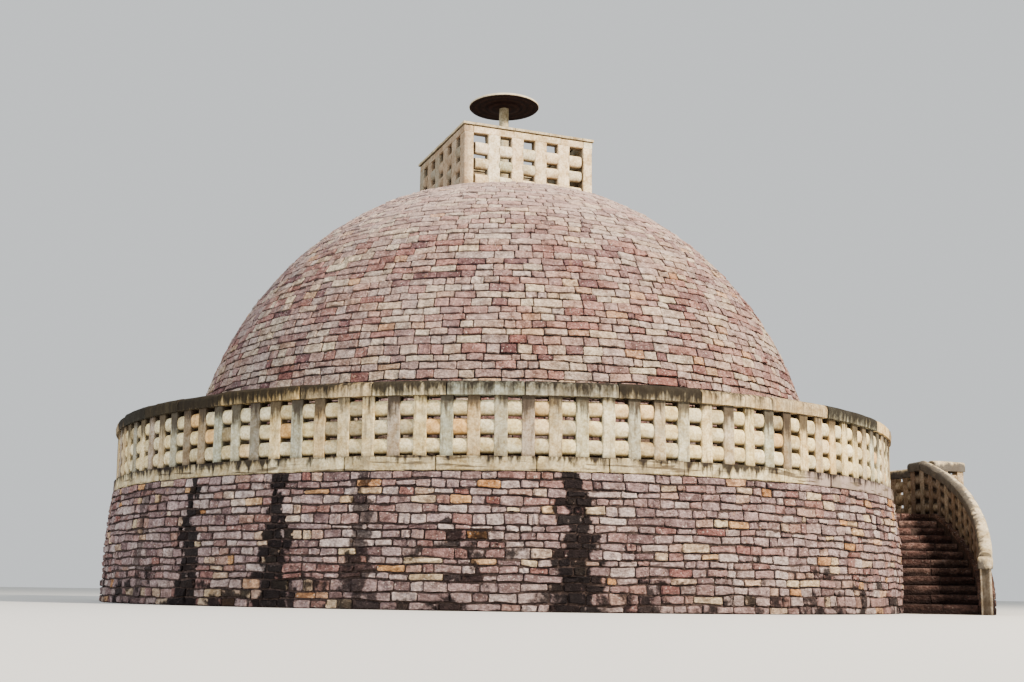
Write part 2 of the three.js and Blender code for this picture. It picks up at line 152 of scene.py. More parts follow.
def polar(angle, radius, z):
    """Points in space from plan angles in degrees, radii and heights, which may be arrays."""
    a = np.radians(angle)
    return np.stack(np.broadcast_arrays(radius * np.sin(a), -radius * np.cos(a), z), axis=-1)


def circle(radius):
    """The way round at a radius."""
    return 2 * math.pi * radius


def drum_radius(z):
    """The drum's radius at a height: its wall leans in."""
    radii, heights = zip(*DRUM_WALL)
    return np.interp(z, heights, radii)


def stringer_top(angle):
    """Height of the wall beside the steps: level by the landing, then falling."""
    t = np.maximum(0, share(FALL_ANGLE, FOOT_ANGLE, angle))
    return mix(DRUM_TOP, STRINGER_FOOT, t)


def stair_coping_top(angle):
    """Height of the stair's coping, which bulges over a straight fall."""
    t = np.maximum(0, share(LANDING_ANGLE, NEWEL_ANGLE, angle))
    return mix(STAIR_COPING_TOP, NEWEL_COPING_TOP, t) + COPING_BULGE * 4 * t * (1 - t)


def step_top(angle):
    """Height of the steps at a distance from the landing's middle, in degrees."""
    risen = STEPS - np.floor((angle - LANDING_ANGLE) / STEP_ANGLE)
    return DRUM_TOP * np.clip(risen, 0, STEPS) / STEPS


def put_in_scene(name, data):
    """Makes an object of a mesh, a lamp or a camera."""
    made = bpy.data.objects.new(name, data)
    bpy.context.scene.collection.objects.link(made)
    return made


class Stones:
    """Stones that become one piece. Each has a number of its own, which picks its colour, and each
    point knows how near a joint it is and how high up its stone."""

    def __init__(self, seed):
        self.random = np.random.default_rng(seed)
        self.points, self.quads, self.numbers, self.joints, self.heights = [], [], [], [], []
        self.count = 0

    def lay(self, points, quads, joint, height, number=None):
        """Adds a stone and turns its faces outward."""
        a, b, c, d = (points[quads] - points.mean(0)).transpose(1, 0, 2)
        if np.einsum("ij,ij->", a, np.cross(b, c) + np.cross(c, d)) < 0:
            quads = quads[:, ::-1]
        self.points.append(points)
        self.quads.append(quads + self.count)
        own = self.random.random() if number is None else number
        self.numbers.append(np.full(len(points), own))
        self.joints.append(joint)
        self.heights.append(height)
        self.count += len(points)

    def make(self, name, material, slot, replaces=(), smooth=None):
        """Makes the piece. Where its sides are smooth, only turns sharper than that many degrees show."""
        mesh = bpy.data.meshes.new(name)
        mesh.from_pydata(np.concatenate(self.points), [], np.concatenate(self.quads))
        lists = {"stone": self.numbers, "joint": self.joints, "height": self.heights}
        for attribute, values in lists.items():
            layer = mesh.attributes.new(attribute, "FLOAT", "POINT")
            layer.data.foreach_set("value", np.concatenate(values).astype(np.float32))
        if smooth is not None:
            mesh.polygons.foreach_set("use_smooth", np.ones(len(mesh.polygons), bool))
            mesh.set_sharp_from_angle(angle=math.radians(smooth))
        mesh.materials.append(material)
        piece = put_in_scene(name, mesh)
        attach(piece, "root")
        if replaces:
            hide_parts(*replaces)
        return piece


def nodes_named(start):
    """The names of the solids whose names start so."""
    return sorted(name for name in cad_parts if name.startswith(start))


def split(low, high, mean, spread, random, length=None):
    """Cuts a run into pieces of about the mean length, and gives where its cuts are, ends and all. Its
    length is given where low and high are in another measure."""
    length = high - low if length is None else length
    pieces = random.lognormal(0, spread, max(1, round(length / mean)))
    return mix(low, high, np.concatenate([[0], np.cumsum(pieces)]) / pieces.sum())


def pairs(cuts):
    """The start and the end of each piece."""
    return list(zip(cuts[:-1], cuts[1:]))


def fan(count):
    """Quads that close a ring of points, which has an even count."""
    return np.array([[0, i, i + 1, i + 2] for i in range(1, count - 2, 2)])


def face_template(columns, rows):
    """Quads of a stone's face, a grid of points, and of its four sides and back, on a second border."""
    grid = np.arange(columns * rows).reshape(rows, columns)
    face = np.stack([grid[:-1, :-1], grid[:-1, 1:], grid[1:, 1:], grid[1:, :-1]], -1).reshape(-1, 4)
    border = np.concatenate([grid[0, :-1], grid[:-1, -1], grid[-1, :0:-1], grid[:0:-1, 0]])
    back = columns * rows + np.arange(len(border))
    sides = np.stack([border, back, np.roll(back, -1), np.roll(border, -1)], -1)
    return np.concatenate([face, sides, back[fan(len(back))[:, ::-1]]]), border


FACE_COLUMNS, FACE_ROWS = 6, 4
FACE_QUADS, FACE_BORDER = face_template(FACE_COLUMNS, FACE_ROWS)


def lay_face(stones, width, height, place, chamfer, roughness):
    """One stone of a wall. place puts points given along the wall, up it and out of it in space."""
    random = stones.random
    shape = (FACE_ROWS, FACE_COLUMNS)
    edge_u = min(1.6 * chamfer, 0.3 * width)
    edge_v = min(1.1 * chamfer, 0.3 * height)
    set_back = 0.75 * chamfer
    wobble = 0.45 * chamfer
    corner_cut = 0.42
    u = np.concatenate([[0], np.linspace(edge_u, width - edge_u, FACE_COLUMNS - 2), [width]])
    across, up = np.meshgrid(u, np.array([0, edge_v, height - edge_v, height]))
    across[1:-1, 2:-2] += random.normal(0, 0.07 * width, (FACE_ROWS - 2, FACE_COLUMNS - 4))
    out = PROUD + random.normal(0, roughness, shape)
    out += random.normal(0, 0.7 * roughness) + random.normal(0, roughness) * (across / width - 0.5)
    # The edge value is also the joint value: 1 along the top and bottom, 0.85 up the sides, so the top and
    # bottom joints are painted darker, as painted shade under each stone's overhang.
    edge = np.zeros(shape)
    edge[:, [0, -1]] = 0.85
    edge[[0, -1]] = 1
    out -= (edge > 0) * set_back
    across = np.clip(across + random.normal(0, wobble, shape) * (edge > 0), 0, width)
    up = np.clip(up + random.normal(0, wobble, shape) * (edge > 0), 0, height)
    for row, column in ((0, 0), (0, -1), (-1, 0), (-1, -1)):
        across[row, column] += (1 if column == 0 else -1) * corner_cut * edge_u
        up[row, column] += (1 if row == 0 else -1) * corner_cut * edge_v
    out = np.maximum(out, LEAST_PROUD)
    border = FACE_BORDER
    across, up, out, edge = (a.ravel() for a in (across, up, out, edge))
    up = np.concatenate([up, up[border]])
    bed = np.full(len(border), -BEDDED)
    points = place(np.concatenate([across, across[border]]), up, np.concatenate([out, bed]))
    # The joint value: dirt in the joints, with painted shade along their tops and bottoms.
    dirt = np.concatenate([edge, np.ones(len(border))])
    stones.lay(points, FACE_QUADS, dirt, up / height)


def lay_wall(
    stones, lines, length_at, place, stone, keep=None, chamfer=0.015, roughness=0.007, waviness=0.009
):
    """Courses of stones. stone is their mean length and how much it varies. place takes a share of the
    course's length, a height and a distance out. keep says which stones are laid."""
    random = stones.random
    slack = 0.6 * roughness
    phases = random.random((len(lines), len(COURSE_WAVES)))
    swings = waviness * np.ones(len(lines))
    swings[[0, -1]] = 0

    def line(k, t):
        waves = sum(np.sin(2 * np.pi * (n * t + phases[k, i])) for i, n in enumerate(COURSE_WAVES))
        return lines[k] + swings[k] * waves / WAVE_SUM

    for k in range(len(lines) - 1):
        length = length_at((lines[k] + lines[k + 1]) / 2)
        for start, end in pairs(split(0, 1, *stone, random, length)):
            centre = (start + end) / 2
            low, high = line(k, centre), line(k + 1, centre)
            if keep and not keep(centre, low, high):
                continue
            width = (end - start) * length - JOINT
            below, above = JOINT / 2 + np.abs(random.normal(0, slack, 2))
            height = high - low - below - above
            lean = random.normal(0, slack)

            def put(u, v, out):
                t = start + (JOINT / 2 + u) / length
                within = (below + v + lean * (u / width - 0.5)) / (high - low)
                return place(t, mix(line(k, t), line(k + 1, t), within), out)

            lay_face(stones, width, height, put, chamfer, roughness)


def block(size, bevel, cuts):
    """Points and quads of a box with rounded edges, its centre at the origin."""
    half = np.array(size) / 2
    bevel = min(bevel, *(0.45 * np.array(size)))
    lines = []
    for h, n in zip(half, cuts):
        inner = np.linspace(-h + bevel, h - bevel, n + 2)
        lines.append(np.concatenate([[-h], inner, [h]]))
    points, quads, count = [], [], 0
    for axis in range(3):
        a, b = [i for i in range(3) if i != axis]
        for sign in (-1, 1):
            p, q = np.meshgrid(lines[a], lines[b], indexing="ij")
            face = np.zeros(p.shape + (3,))
            face[..., a], face[..., b], face[..., axis] = p, q, sign * half[axis]
            grid = np.arange(p.size).reshape(p.shape) + count
            corners = [grid[:-1, :-1], grid[1:, :-1], grid[1:, 1:], grid[:-1, 1:]]
            if (sign > 0) == (axis == 1):
                corners = corners[::-1]
            points.append(face.reshape(-1, 3))
            quads.append(np.stack(corners, -1).reshape(-1, 4))
            count += p.size
    points = np.concatenate(points)
    core = np.clip(points, -half + bevel, half - bevel)
    away = points - core
    length = np.linalg.norm(away, axis=1, keepdims=True)
    return core + away / np.maximum(length, 1e-9) * np.minimum(length, bevel), np.concatenate(quads)


def lay_block(stones, size, place, bevel=0.012, cuts=(1, 1, 1), roughness=0.003):
    """One whole stone. place puts points given along it, up it and out of it in space."""
    points, quads = block(size, bevel, cuts)
    keys = np.round(points, 5)
    _, first, inverse = np.unique(keys, axis=0, return_index=True, return_inverse=True)
    shift = stones.random.normal(0, roughness, (len(first), 3))
    points = points[first] + shift
    quads = inverse.reshape(-1)[quads]
    half = np.array(size) / 2
    gap = np.sort(half - np.abs(points), axis=1)[:, 1]
    joint = np.clip(1 - gap / (1.5 * bevel), 0, 1)
    height = np.clip(points[:, 1] / size[1] + 0.5, 0, 1)
    stones.lay(place(points[:, 0], points[:, 1], points[:, 2]), quads, joint, height)


def lay_tube(stones, rings, height, joint=None, number=None):
    """A closed stone through rings of points, all with one even count."""
    count, size = rings.shape[:2]
    grid = np.arange(count * size).reshape(count, size)
    onward = np.roll(grid, -1, axis=1)
    sides = np.stack([grid[:-1], onward[:-1], onward[1:], grid[1:]], -1).reshape(-1, 4)
    ends = fan(size)
    quads = np.concatenate([sides, ends[:, ::-1], ends + (count - 1) * size])
    joints = np.zeros(count * size) if joint is None else joint.ravel()
    stones.lay(rings.reshape(-1, 3), quads, joints, height.ravel(), number)


def lay_post(stones, centre, along, width, depth, foot, top, worn=0.01):
    """An upright post: square at its foot and top, its corners cut off in between."""
    random = stones.random
    length = top - foot
    squared = 0.075
    arris = 0.006
    stations = [0, squared, squared + worn, 0.33 * length, 0.66 * length]
    stations += [length - squared - worn, length - squared, length]
    cuts = [arris, arris, worn, worn, worn, worn, arris, arris]
    turn = random.normal(0, 0.012)
    u = np.array([[math.cos(turn), -math.sin(turn)], [math.sin(turn), math.cos(turn)]]) @ along
    v = np.array([u[1], -u[0]])
    a, b = width / 2, depth / 2
    rings = []
    for z, cut in zip(stations, cuts):
        outline = [(a - cut, b), (a, b - cut), (a, -b + cut), (a - cut, -b)]
        outline += [(-x, -y) for x, y in outline]
        shape = np.array(outline) + random.normal(0, 0.002, (8, 2))
        plan = centre + shape[:, :1] * u + shape[:, 1:] * v
        rings.append(np.column_stack([plan, np.full(8, foot + z)]))
    rings = np.array(rings)
    lay_tube(stones, rings, (rings[..., 2] - foot) / length)


def lens(thickness, height):
    """The section of a crossbar: two arcs that meet in blunt edges, as pairs across and up."""
    turns = np.linspace(-math.pi / 2, math.pi / 2, 9)
    blunt = 0.012
    across = (thickness / 2 - blunt) * np.cos(turns) ** 0.75 + blunt
    outer = np.column_stack([across, height / 2 * np.sin(turns)])
    return np.concatenate([outer, -outer])


# Along a crossbar: where, its size there as a share of its middle's, and how near the joint that is.
BAR_STATIONS = ((0, 0.96, 1), (0.08, 0.99, 0.35), (0.5, 1.0, 0), (0.92, 0.99, 0.35), (1, 0.96, 1))


def lay_bar(stones, start, end, across, thickness, heights):
    """A crossbar between two posts' faces. heights are its heights at the start and end."""
    tilt = stones.random.normal(0, 0.004, 2)
    rings = []
    for t, swell, _ in BAR_STATIONS:
        section = lens(thickness * swell, mix(heights[0], heights[1], t) * swell)
        centre = mix(np.array(start), np.array(end), t) + np.array([0, 0, mix(tilt[0], tilt[1], t)])
        rings.append(centre + np.column_stack([section[:, :1] * across, section[:, 1]]))
    rings = np.array(rings)
    up = np.broadcast_to(lens(1, 1)[:, 1] + 0.5, rings.shape[:2])
    joint = np.array([near for _, _, near in BAR_STATIONS], float)
    lay_tube(stones, rings, up, np.broadcast_to(joint[:, None], rings.shape[:2]))


def coping_section(width, height):
    """A coping's section: upright sides below, and rounded over the top."""
    turns = np.linspace(0, math.pi, 10)
    shoulder = 0.52
    foot = width / 2 - 0.008
    rise = shoulder + (1 - shoulder) * np.sin(turns) ** 0.7
    crown = np.column_stack([np.cos(turns) * width / 2, height * rise])
    return np.concatenate([[[-foot, 0], [foot, 0]], crown])


def lay_coping(stones, stations, place, width, height):
    """A run of one coping stone. place puts (station, nudge, across, up) in space."""
    random = stones.random
    section = coping_section(width, height)
    shift = random.normal(0, 0.005, 2)
    inset = 0.012
    spread = np.concatenate([[stations[0]], stations, [stations[-1]]])
    nudges = {1: 0.008, len(spread) - 2: -0.008}
    rings = []
    for k, station in enumerate(spread):
        end = k in (0, len(spread) - 1)
        shape = section * [1 - 2 * inset / width, 1] if end else section
        noise = random.normal(0, 0.0025, section.shape)
        across = shape[:, 0] + shift[0] + noise[:, 0]
        up = shape[:, 1] * (1 - inset / height if end else 1) + shift[1] * (shape[:, 1] > 0) + noise[:, 1]
        rings.append(place(station, nudges.get(k, 0.0), across, np.maximum(up, 0.001)))
    rings = np.array(rings)
    up = np.broadcast_to(section[:, 1] / height, rings.shape[:2])
    joint = np.zeros(rings.shape[:2])
    joint[[0, -1]] = 1
    lay_tube(stones, rings, up, joint)


def make_rail(name, posts, bars, post_stone, bar_stone, slot, nodes):
    """A railing's posts as one piece, and its crossbars as another."""
    posts.make(f"{name}_posts", post_stone, slot, nodes, smooth=30)
    bars.make(f"{name}_crossbars", bar_stone, slot, nodes, smooth=40)


# The drum and the dome.
def drum_wall():
    """The drum's rough face: uneven courses that lean in with the wall, open where the stair is."""
    stones = Stones(11)
    lines = split(0.0, DRUM_TOP, *DRUM_COURSES, stones.random)

    def place(t, z, out):
        return polar(360 * t - 180, drum_radius(z) + out, z)

    def length_at(z):
        return circle(drum_radius(z))

    def keep(t, low, high):
        angle = abs(360 * t - 180)
        if angle < LANDING_ANGLE:
            return False
        return angle > FOOT_ANGLE or high > step_top(angle)

    hewn = {"chamfer": 0.014, "roughness": 0.01, "waviness": 0.013}
    lay_wall(stones, lines, length_at, place, DRUM_LENGTHS, keep, **hewn)
    stones.make("drum_wall_stones", drum_sandstone(), "drum_masonry")


def dome_curve():
    """The dome's outline as lengths up its curve, with the ellipse's turn at each."""
    turns = np.linspace(0, math.asin((DOME_TOP - DOME_SPRING) / DOME_RISE), 400)
    pieces = np.hypot(np.diff(DOME_R * np.cos(turns)), np.diff(DOME_RISE * np.sin(turns)))
    return np.concatenate([[0], np.cumsum(pieces)]), turns


def dome_wall():
    """The dome's face: evener courses than the drum's, all the way up its curve."""
    lengths, turns = dome_curve()
    material = dome_sandstone()

    def place(t, s, out):
        turn = np.interp(s, lengths, turns)
        slope = np.hypot(np.cos(turn) / DOME_R, np.sin(turn) / DOME_RISE)
        radius = DOME_R * np.cos(turn) + out * np.cos(turn) / DOME_R / slope
        z = DOME_SPRING + DOME_RISE * np.sin(turn) + out * np.sin(turn) / DOME_RISE / slope
        return polar(360 * t - 180, radius, z)

    def length_at(s):
        return 2 * math.pi * DOME_R * math.cos(np.interp(s, lengths, turns))

    bands = pairs(np.linspace(0, lengths[-1], 4))
    for band, name in enumerate(("lower", "middle", "upper")):
        stones = Stones(21 + band)
        lines = split(*bands[band], *DOME_COURSES, stones.random)
        lay_wall(stones, lines, length_at, place, DOME_LENGTHS, chamfer=0.011, roughness=0.008)
        stones.make(f"dome_{name}_stones", material, "dome_masonry")


def dome_crown():
    """Slabs laid flat on the dome's top, in rings round the square railing's floor."""
    stones = Stones(31)
    radius = DOME_R * math.sqrt(1 - ((DOME_TOP - DOME_SPRING) / DOME_RISE) ** 2)
    lines = np.linspace(0.25, radius + 0.01, 8)

    def place(t, r, out):
        return polar(360 * t, r, DOME_TOP + out)

    lay_wall(stones, lines, circle, place, CROWN_LENGTHS, roughness=0.002)
    stones.make("dome_crown_slabs", crown_sandstone(), "dome_masonry")


def walkway():
    """The paving on the drum, between the dome and the kerb."""
    stones = Stones(32)
    lines = np.array([DOME_R + 0.02, 6.45, 6.8, KERB[0] - 0.01])

    def place(t, r, out):
        return polar(360 * t, r, DRUM_TOP + out * PAVING_PROUD)

    lay_wall(stones, lines, circle, place, WALKWAY_LENGTHS, roughness=0.001)
    stones.make("walkway_slabs", paving_stone(), "drum_masonry")


# The railing on the drum's rim.
def rim_spans(stones):
    """The plan angles where each stone of the kerb or the coping starts and ends."""
    overhang = 0.75
    low, high = GATE_ANGLE - overhang, 360 - GATE_ANGLE + overhang
    return pairs(split(low, high, *RIM_LENGTHS, stones.random, BAYS))


def rim_kerb():
    """The kerb that carries the railing: long blocks that stand a little in and out of line."""
    stones = Stones(41)
    inner, outer = KERB
    width = outer - inner
    height = KERB_TOP - DRUM_TOP
    middle = (inner + outer) / 2
    for low, high in rim_spans(stones):
        length = math.radians(high - low) * outer
        out_by = stones.random.normal(0, 0.006)

        def place(u, v, w):
            angle = mix(low, high, 0.5 + u / length)
            return polar(angle, middle + w + out_by, DRUM_TOP + height / 2 + v + 0.002)

        size = (length - 0.012, height, width)
        lay_block(stones, size, place, bevel=0.014, cuts=(8, 1, 1), roughness=0.004)
    stones.make("rim_kerb_stones", kerb_sandstone(), "railing_stone", nodes_named("rim_kerb"))


def rim_coping():
    """The coping over the railing: long round-topped stones, each a little off its neighbours."""
    stones = Stones(42)
    inner, outer = RIM_COPING
    width = outer - inner
    height = RIM_COPING_TOP - RIM_COPING_FOOT
    middle = (inner + outer) / 2

    def place(angle, nudge, across, up):
        return polar(angle + math.degrees(nudge / middle), middle + across, RIM_COPING_FOOT + up)

    half_gap = 0.04  # degrees
    for low, high in rim_spans(stones):
        stations = np.linspace(low + half_gap, high - half_gap, 10)
        lay_coping(stones, stations, place, width, height)
    nodes = nodes_named("rim_coping")
    stones.make("rim_coping_stones", coping_sandstone(), "railing_stone", nodes, smooth=35)


def rim_railing():
    """The railing round the drum's rim: close-set posts, with three fat crossbars in every bay."""
    posts, bars = Stones(43), Stones(44)
    clear = RIM_COPING_FOOT - KERB_TOP
    reach = math.degrees((RIM_POST / 2 - BAR_HOUSED) / RIM_POST_R)
    for k in range(BAYS + 1):
        angle = GATE_ANGLE + k * BAY
        centre = polar(angle, RIM_POST_R, 0)[:2]
        along = polar(angle + 90, 1, 0)[:2]
        width = RIM_POST * posts.random.uniform(0.93, 1.03)
        lay_post(posts, centre, along, width, RIM_POST, KERB_TOP, RIM_COPING_FOOT)
        if k == BAYS:
            break
        across = polar(angle + BAY / 2, 1, 0)[:2]
        for level in BAR_LEVELS:
            z = KERB_TOP + level * clear
            start = polar(angle + reach, RIM_POST_R, z)
            end = polar(angle + BAY - reach, RIM_POST_R, z)
            tall = BAR_SHARE * clear * bars.random.uniform(0.96, 1.03)
            lay_bar(bars, start, end, across, BAR_BULGE * RIM_POST, (tall, tall))
    nodes = nodes_named("rim_railing")
    make_rail("rim", posts, bars, post_sandstone(), crossbar_sandstone(), "railing_stone", nodes)


# The square railing and the umbrella on the dome.
def harmika_sides():
    """The square railing's four sides: how each is turned in plan, and whether it takes in the corners."""
    for quarter in range(4):
        a = quarter * math.pi / 2
        yield np.array([[math.cos(a), math.sin(a)], [-math.sin(a), math.cos(a)]]), quarter % 2 == 0


def harmika_railing():
    """The square railing on the dome: broad flat posts, with three thick crossbars in every bay."""
    posts, bars = Stones(51), Stones(52)
    reach = (HARMIKA - HARMIKA_POST) / 2
    middle = (HARMIKA_DEPTH - HARMIKA) / 2
    pitch = 2 * reach / HARMIKA_BAYS
    width = HARMIKA_POST - 0.004
    half = HARMIKA_POST / 2 - 0.02
    for spin, has_corners in harmika_sides():
        along = np.array([1.0, 0.0]) @ spin
        outward = np.array([0.0, -1.0]) @ spin
        for i in range(HARMIKA_BAYS + 1) if has_corners else range(1, HARMIKA_BAYS):
            centre = np.array([-reach + i * pitch, middle]) @ spin
            lay_post(posts, centre, along, width, HARMIKA_DEPTH, DOME_TOP, HARMIKA_BEAM[0])
        for i in range(HARMIKA_BAYS):
            start = -reach + i * pitch + half
            for low, high in HARMIKA_BARS:
                plans = [np.array([x, middle]) @ spin for x in (start, start + pitch - 2 * half)]
                ends = [np.append(plan, (low + high) / 2) for plan in plans]
                lay_bar(bars, *ends, outward, HARMIKA_BULGE * HARMIKA_DEPTH, (high - low, high - low))
    nodes = [f"harmika_{name}" for name in ("front", "right", "back", "left")]
    make_rail("harmika", posts, bars, harmika_sandstone(), harmika_sandstone(), "harmika_stone", nodes)


def harmika_beams():
    """The beam over the square railing and the thin cap that juts over it, both in long stones."""
    beams, caps = Stones(53), Stones(54)
    beam_foot, beam_top = HARMIKA_BEAM
    layers = (
        (beams, beam_foot, beam_top, 0.0, BEAM_LENGTHS),
        (caps, beam_top + 0.01, HARMIKA_CAP_TOP, HARMIKA_OVERHANG, CAP_LENGTHS),
    )
    for spin, has_corners in harmika_sides():
        for stones, low, high, overhang, lengths in layers:
            outer = HARMIKA / 2 + overhang
            depth = HARMIKA_DEPTH + 2 * overhang
            end = outer if has_corners else outer - depth
            for left, right in pairs(split(-end, end, *lengths, stones.random)):
                wander = stones.random.normal(0, 0.003, 2)

                def place(u, v, w):
                    x = (left + right) / 2 + u
                    y = -(outer - depth / 2) - w + wander[0]
                    flat = np.column_stack([x, y]) @ spin
                    return np.column_stack([flat, (low + high) / 2 + v])

                size = (right - left - 0.004, high - low - 0.002, depth)
                lay_block(stones, size, place, bevel=0.008, cuts=(3, 0, 0), roughness=0.0015)
    nodes = nodes_named("harmika_beam")
    beams.make("harmika_beam_stones", harmika_sandstone(), "harmika_stone", nodes)
    caps.make("harmika_cap_stones", harmika_cap_sandstone(), "harmika_stone", nodes)


def turned(profile, sides, seed, roughness):
    """Rings of a piece turned on the axis, with the slight unevenness of hand-cut stone."""
    random = np.random.default_rng(seed)
    angles = np.linspace(0, 360, sides, endpoint=False)
    wave = sum(np.sin(np.radians(n * angles) + random.uniform(0, 6.3)) for n in (2, 3, 5))
    rings = []
    for r, z in profile:
        radius = r * (1 + roughness * wave / 2) if r > 0.02 else r + 0 * angles
        rings.append(polar(angles, radius, np.full(sides, z)))
    return np.array(rings)


def umbrella():
    """The stone umbrella: a thin round slab, a little uneven at its rim, on a stout shaft."""
    r, boss, foot, top = UMBRELLA_R, UMBRELLA_BOSS + 0.001, UMBRELLA_FOOT, UMBRELLA_TOP
    disc = [(0.001, boss), (0.12, boss), (0.31, boss), (0.335, boss + 0.012)]
    disc += [(0.35, foot + 0.004), (0.6, foot + 0.006), (0.66, foot - 0.002), (r - 0.014, foot)]
    disc += [(r - 0.002, foot + 0.012), (r - 0.008, foot + 0.036), (r - 0.03, foot + 0.054)]
    disc += [(0.55, top - 0.024), (0.3, top - 0.006), (0.001, top)]
    shaft = [(SHAFT_R * 0.995, z) for z in np.linspace(DOME_TOP, UMBRELLA_BOSS, 9)]
    for name, profile, sides, seed, roughness, sandstone in (
        ("disc", disc, 72, 3, 0.004, umbrella_sandstone),
        ("shaft", shaft, 24, 4, 0.006, shaft_sandstone),
    ):
        stones = Stones(seed)
        rings = turned(profile, sides, seed, roughness)
        height = np.broadcast_to(np.linspace(0, 1, len(profile))[:, None], rings.shape[:2])
        lay_tube(stones, rings, height, number=0.5)
        stones.make(f"umbrella_{name}_stone", sandstone(), "umbrella_stone", [f"umbrella_{name}"], smooth=35)


# The stairs and the landing.
def steps():
    """The steps of both flights: whole blocks side by side, with their fronts and tops showing."""
    stones = Stones(61)
    rise = DRUM_TOP / STEPS
    inner, outer = DRUM_WALL[0][0] - 0.02, STRINGER_IN
    for side in (-1, 1):
        for k in range(STEPS):
            near = LANDING_ANGLE + k * STEP_ANGLE
            top = DRUM_TOP - k * rise
            for left, right in pairs(split(inner, outer, *STEP_LENGTHS, stones.random)):
                middle = (left + right) / 2
                depth = math.radians(STEP_ANGLE) * middle
                lift = stones.random.normal(0.008, 0.003)
                push = stones.random.normal(0.012, 0.006)

                def place(u, v, w):
                    angle = near + STEP_ANGLE * (0.5 + (w + push) / depth)
                    return polar(side * angle, middle + u, top - rise / 2 + v + lift)

                size = (right - left - 0.01, rise - 0.012, depth)
                lay_block(stones, size, place, bevel=0.016, cuts=(1, 0, 0), roughness=0.004)
    stones.make("stair_steps", stair_sandstone(), "stair_masonry")


def stringers():
    """The walls beside the steps: courses on the outer face, and sloping slabs on top."""
    wall, slabs = Stones(62), Stones(63)
    lines = split(0.0, DRUM_TOP, *STAIR_COURSES, wall.random)
    span = FOOT_ANGLE - LANDING_ANGLE
    length = math.radians(span) * STRINGER_OUT
    cover = 0.09
    inner = STRINGER_IN - 0.012
    width = STRINGER_OUT + 0.02 - inner
    middle = inner + width / 2

    for side in (-1, 1):

        def angle_at(t):
            return LANDING_ANGLE + span * (t if side > 0 else 1 - t)

        def place(t, z, out):
            angle = angle_at(t)
            return polar(side * angle, STRINGER_OUT + out, np.minimum(z, stringer_top(angle) - cover))

        def keep(t, low, high):
            return low + 0.05 < stringer_top(angle_at(t)) - cover

        lay_wall(wall, lines, lambda _: length, place, STAIR_LENGTHS, keep)
        cuts = split(LANDING_ANGLE, FOOT_ANGLE, *STRINGER_LENGTHS, slabs.random, length)
        for near, far in pairs(cuts):
            reach = math.radians(far - near) * middle

            def place_slab(u, v, w):
                angle = (near + far) / 2 + (far - near) * u / reach
                return polar(side * angle, middle + w, stringer_top(angle) - cover / 2 + v + 0.006)

            lay_block(slabs, (reach - 0.01, cover, width), place_slab, cuts=(2, 0, 0))
    wall.make("stringer_wall_stones", stair_sandstone(), "stair_masonry")
    slabs.make("stringer_top_slabs", stair_slab_sandstone(), "stair_masonry")


def flight_ends():
    """The foot of each stringer wall, where it faces whoever comes up the stair."""
    stones = Stones(64)
    size = (STRINGER_OUT - STRINGER_IN, STRINGER_FOOT - 0.1, 0.05)
    for side in (-1, 1):

        def place(u, v, w):
            angle = FOOT_ANGLE + np.degrees((w + 0.002) / STRINGER_IN)
            return polar(side * angle, (STRINGER_IN + STRINGER_OUT) / 2 + u, size[1] / 2 + v)

        lay_block(stones, size, place)
    stones.make("stringer_end_stones", stair_sandstone(), "stair_masonry")


def landing_walls():
    """The three walls of the square porch under the landing, in the same courses as the stair's."""
    stones = Stones(65)
    half = PORCH_X + PORCH_EDGE
    front = PORCH_Y - PORCH_EDGE
    shoulder = -(STRINGER_OUT * math.cos(math.radians(LANDING_ANGLE)))
    lines = split(0.0, DRUM_TOP, *STAIR_COURSES, stones.random)
    corners = ((-half, shoulder), (-half, front), (half, front), (half, shoulder))
    left, middle, right = pairs(corners)
    for start, end in (middle, right, left):
        start, end = np.array(start), np.array(end)
        length = np.linalg.norm(end - start)
        along = (end - start) / length
        outward = np.array([along[1], -along[0]])

        def place(t, z, out):
            spot = start + np.outer(t * length, along) + np.outer(out, outward)
            return np.column_stack([spot, z])

        lay_wall(stones, lines, lambda _: length, place, STAIR_LENGTHS)
    stones.make("landing_wall_stones", landing_sandstone(), "stair_masonry")


def landing_floor():
    """The landing's paving: rows of slabs, cut to the drum's curve and to the flights on both sides."""
    stones = Stones(66)
    half = PORCH_X + PORCH_EDGE
    front, back = PORCH_Y - PORCH_EDGE, -7.46
    shoulder = -8.79  # from here to the drum the floor narrows between the flights
    drum_edge = 7.43

    def place(t, y, out):
        x = mix(-half, half, t)
        limit = np.tan(math.radians(LANDING_ANGLE - 0.2)) * -y
        flat = np.where(y > shoulder, np.clip(x, -limit, limit), x)
        radius = np.hypot(flat, y)
        inside = np.where(radius < drum_edge, drum_edge / radius, 1)
        return np.column_stack([flat * inside, y * inside, DRUM_TOP + out * PAVING_PROUD])

    rows = np.linspace(front, back, 6)
    lay_wall(stones, rows, lambda _: 2 * half, place, LANDING_LENGTHS, roughness=0.001, waviness=0.0)
    stones.make("landing_slabs", stair_slab_sandstone(), "stair_masonry")


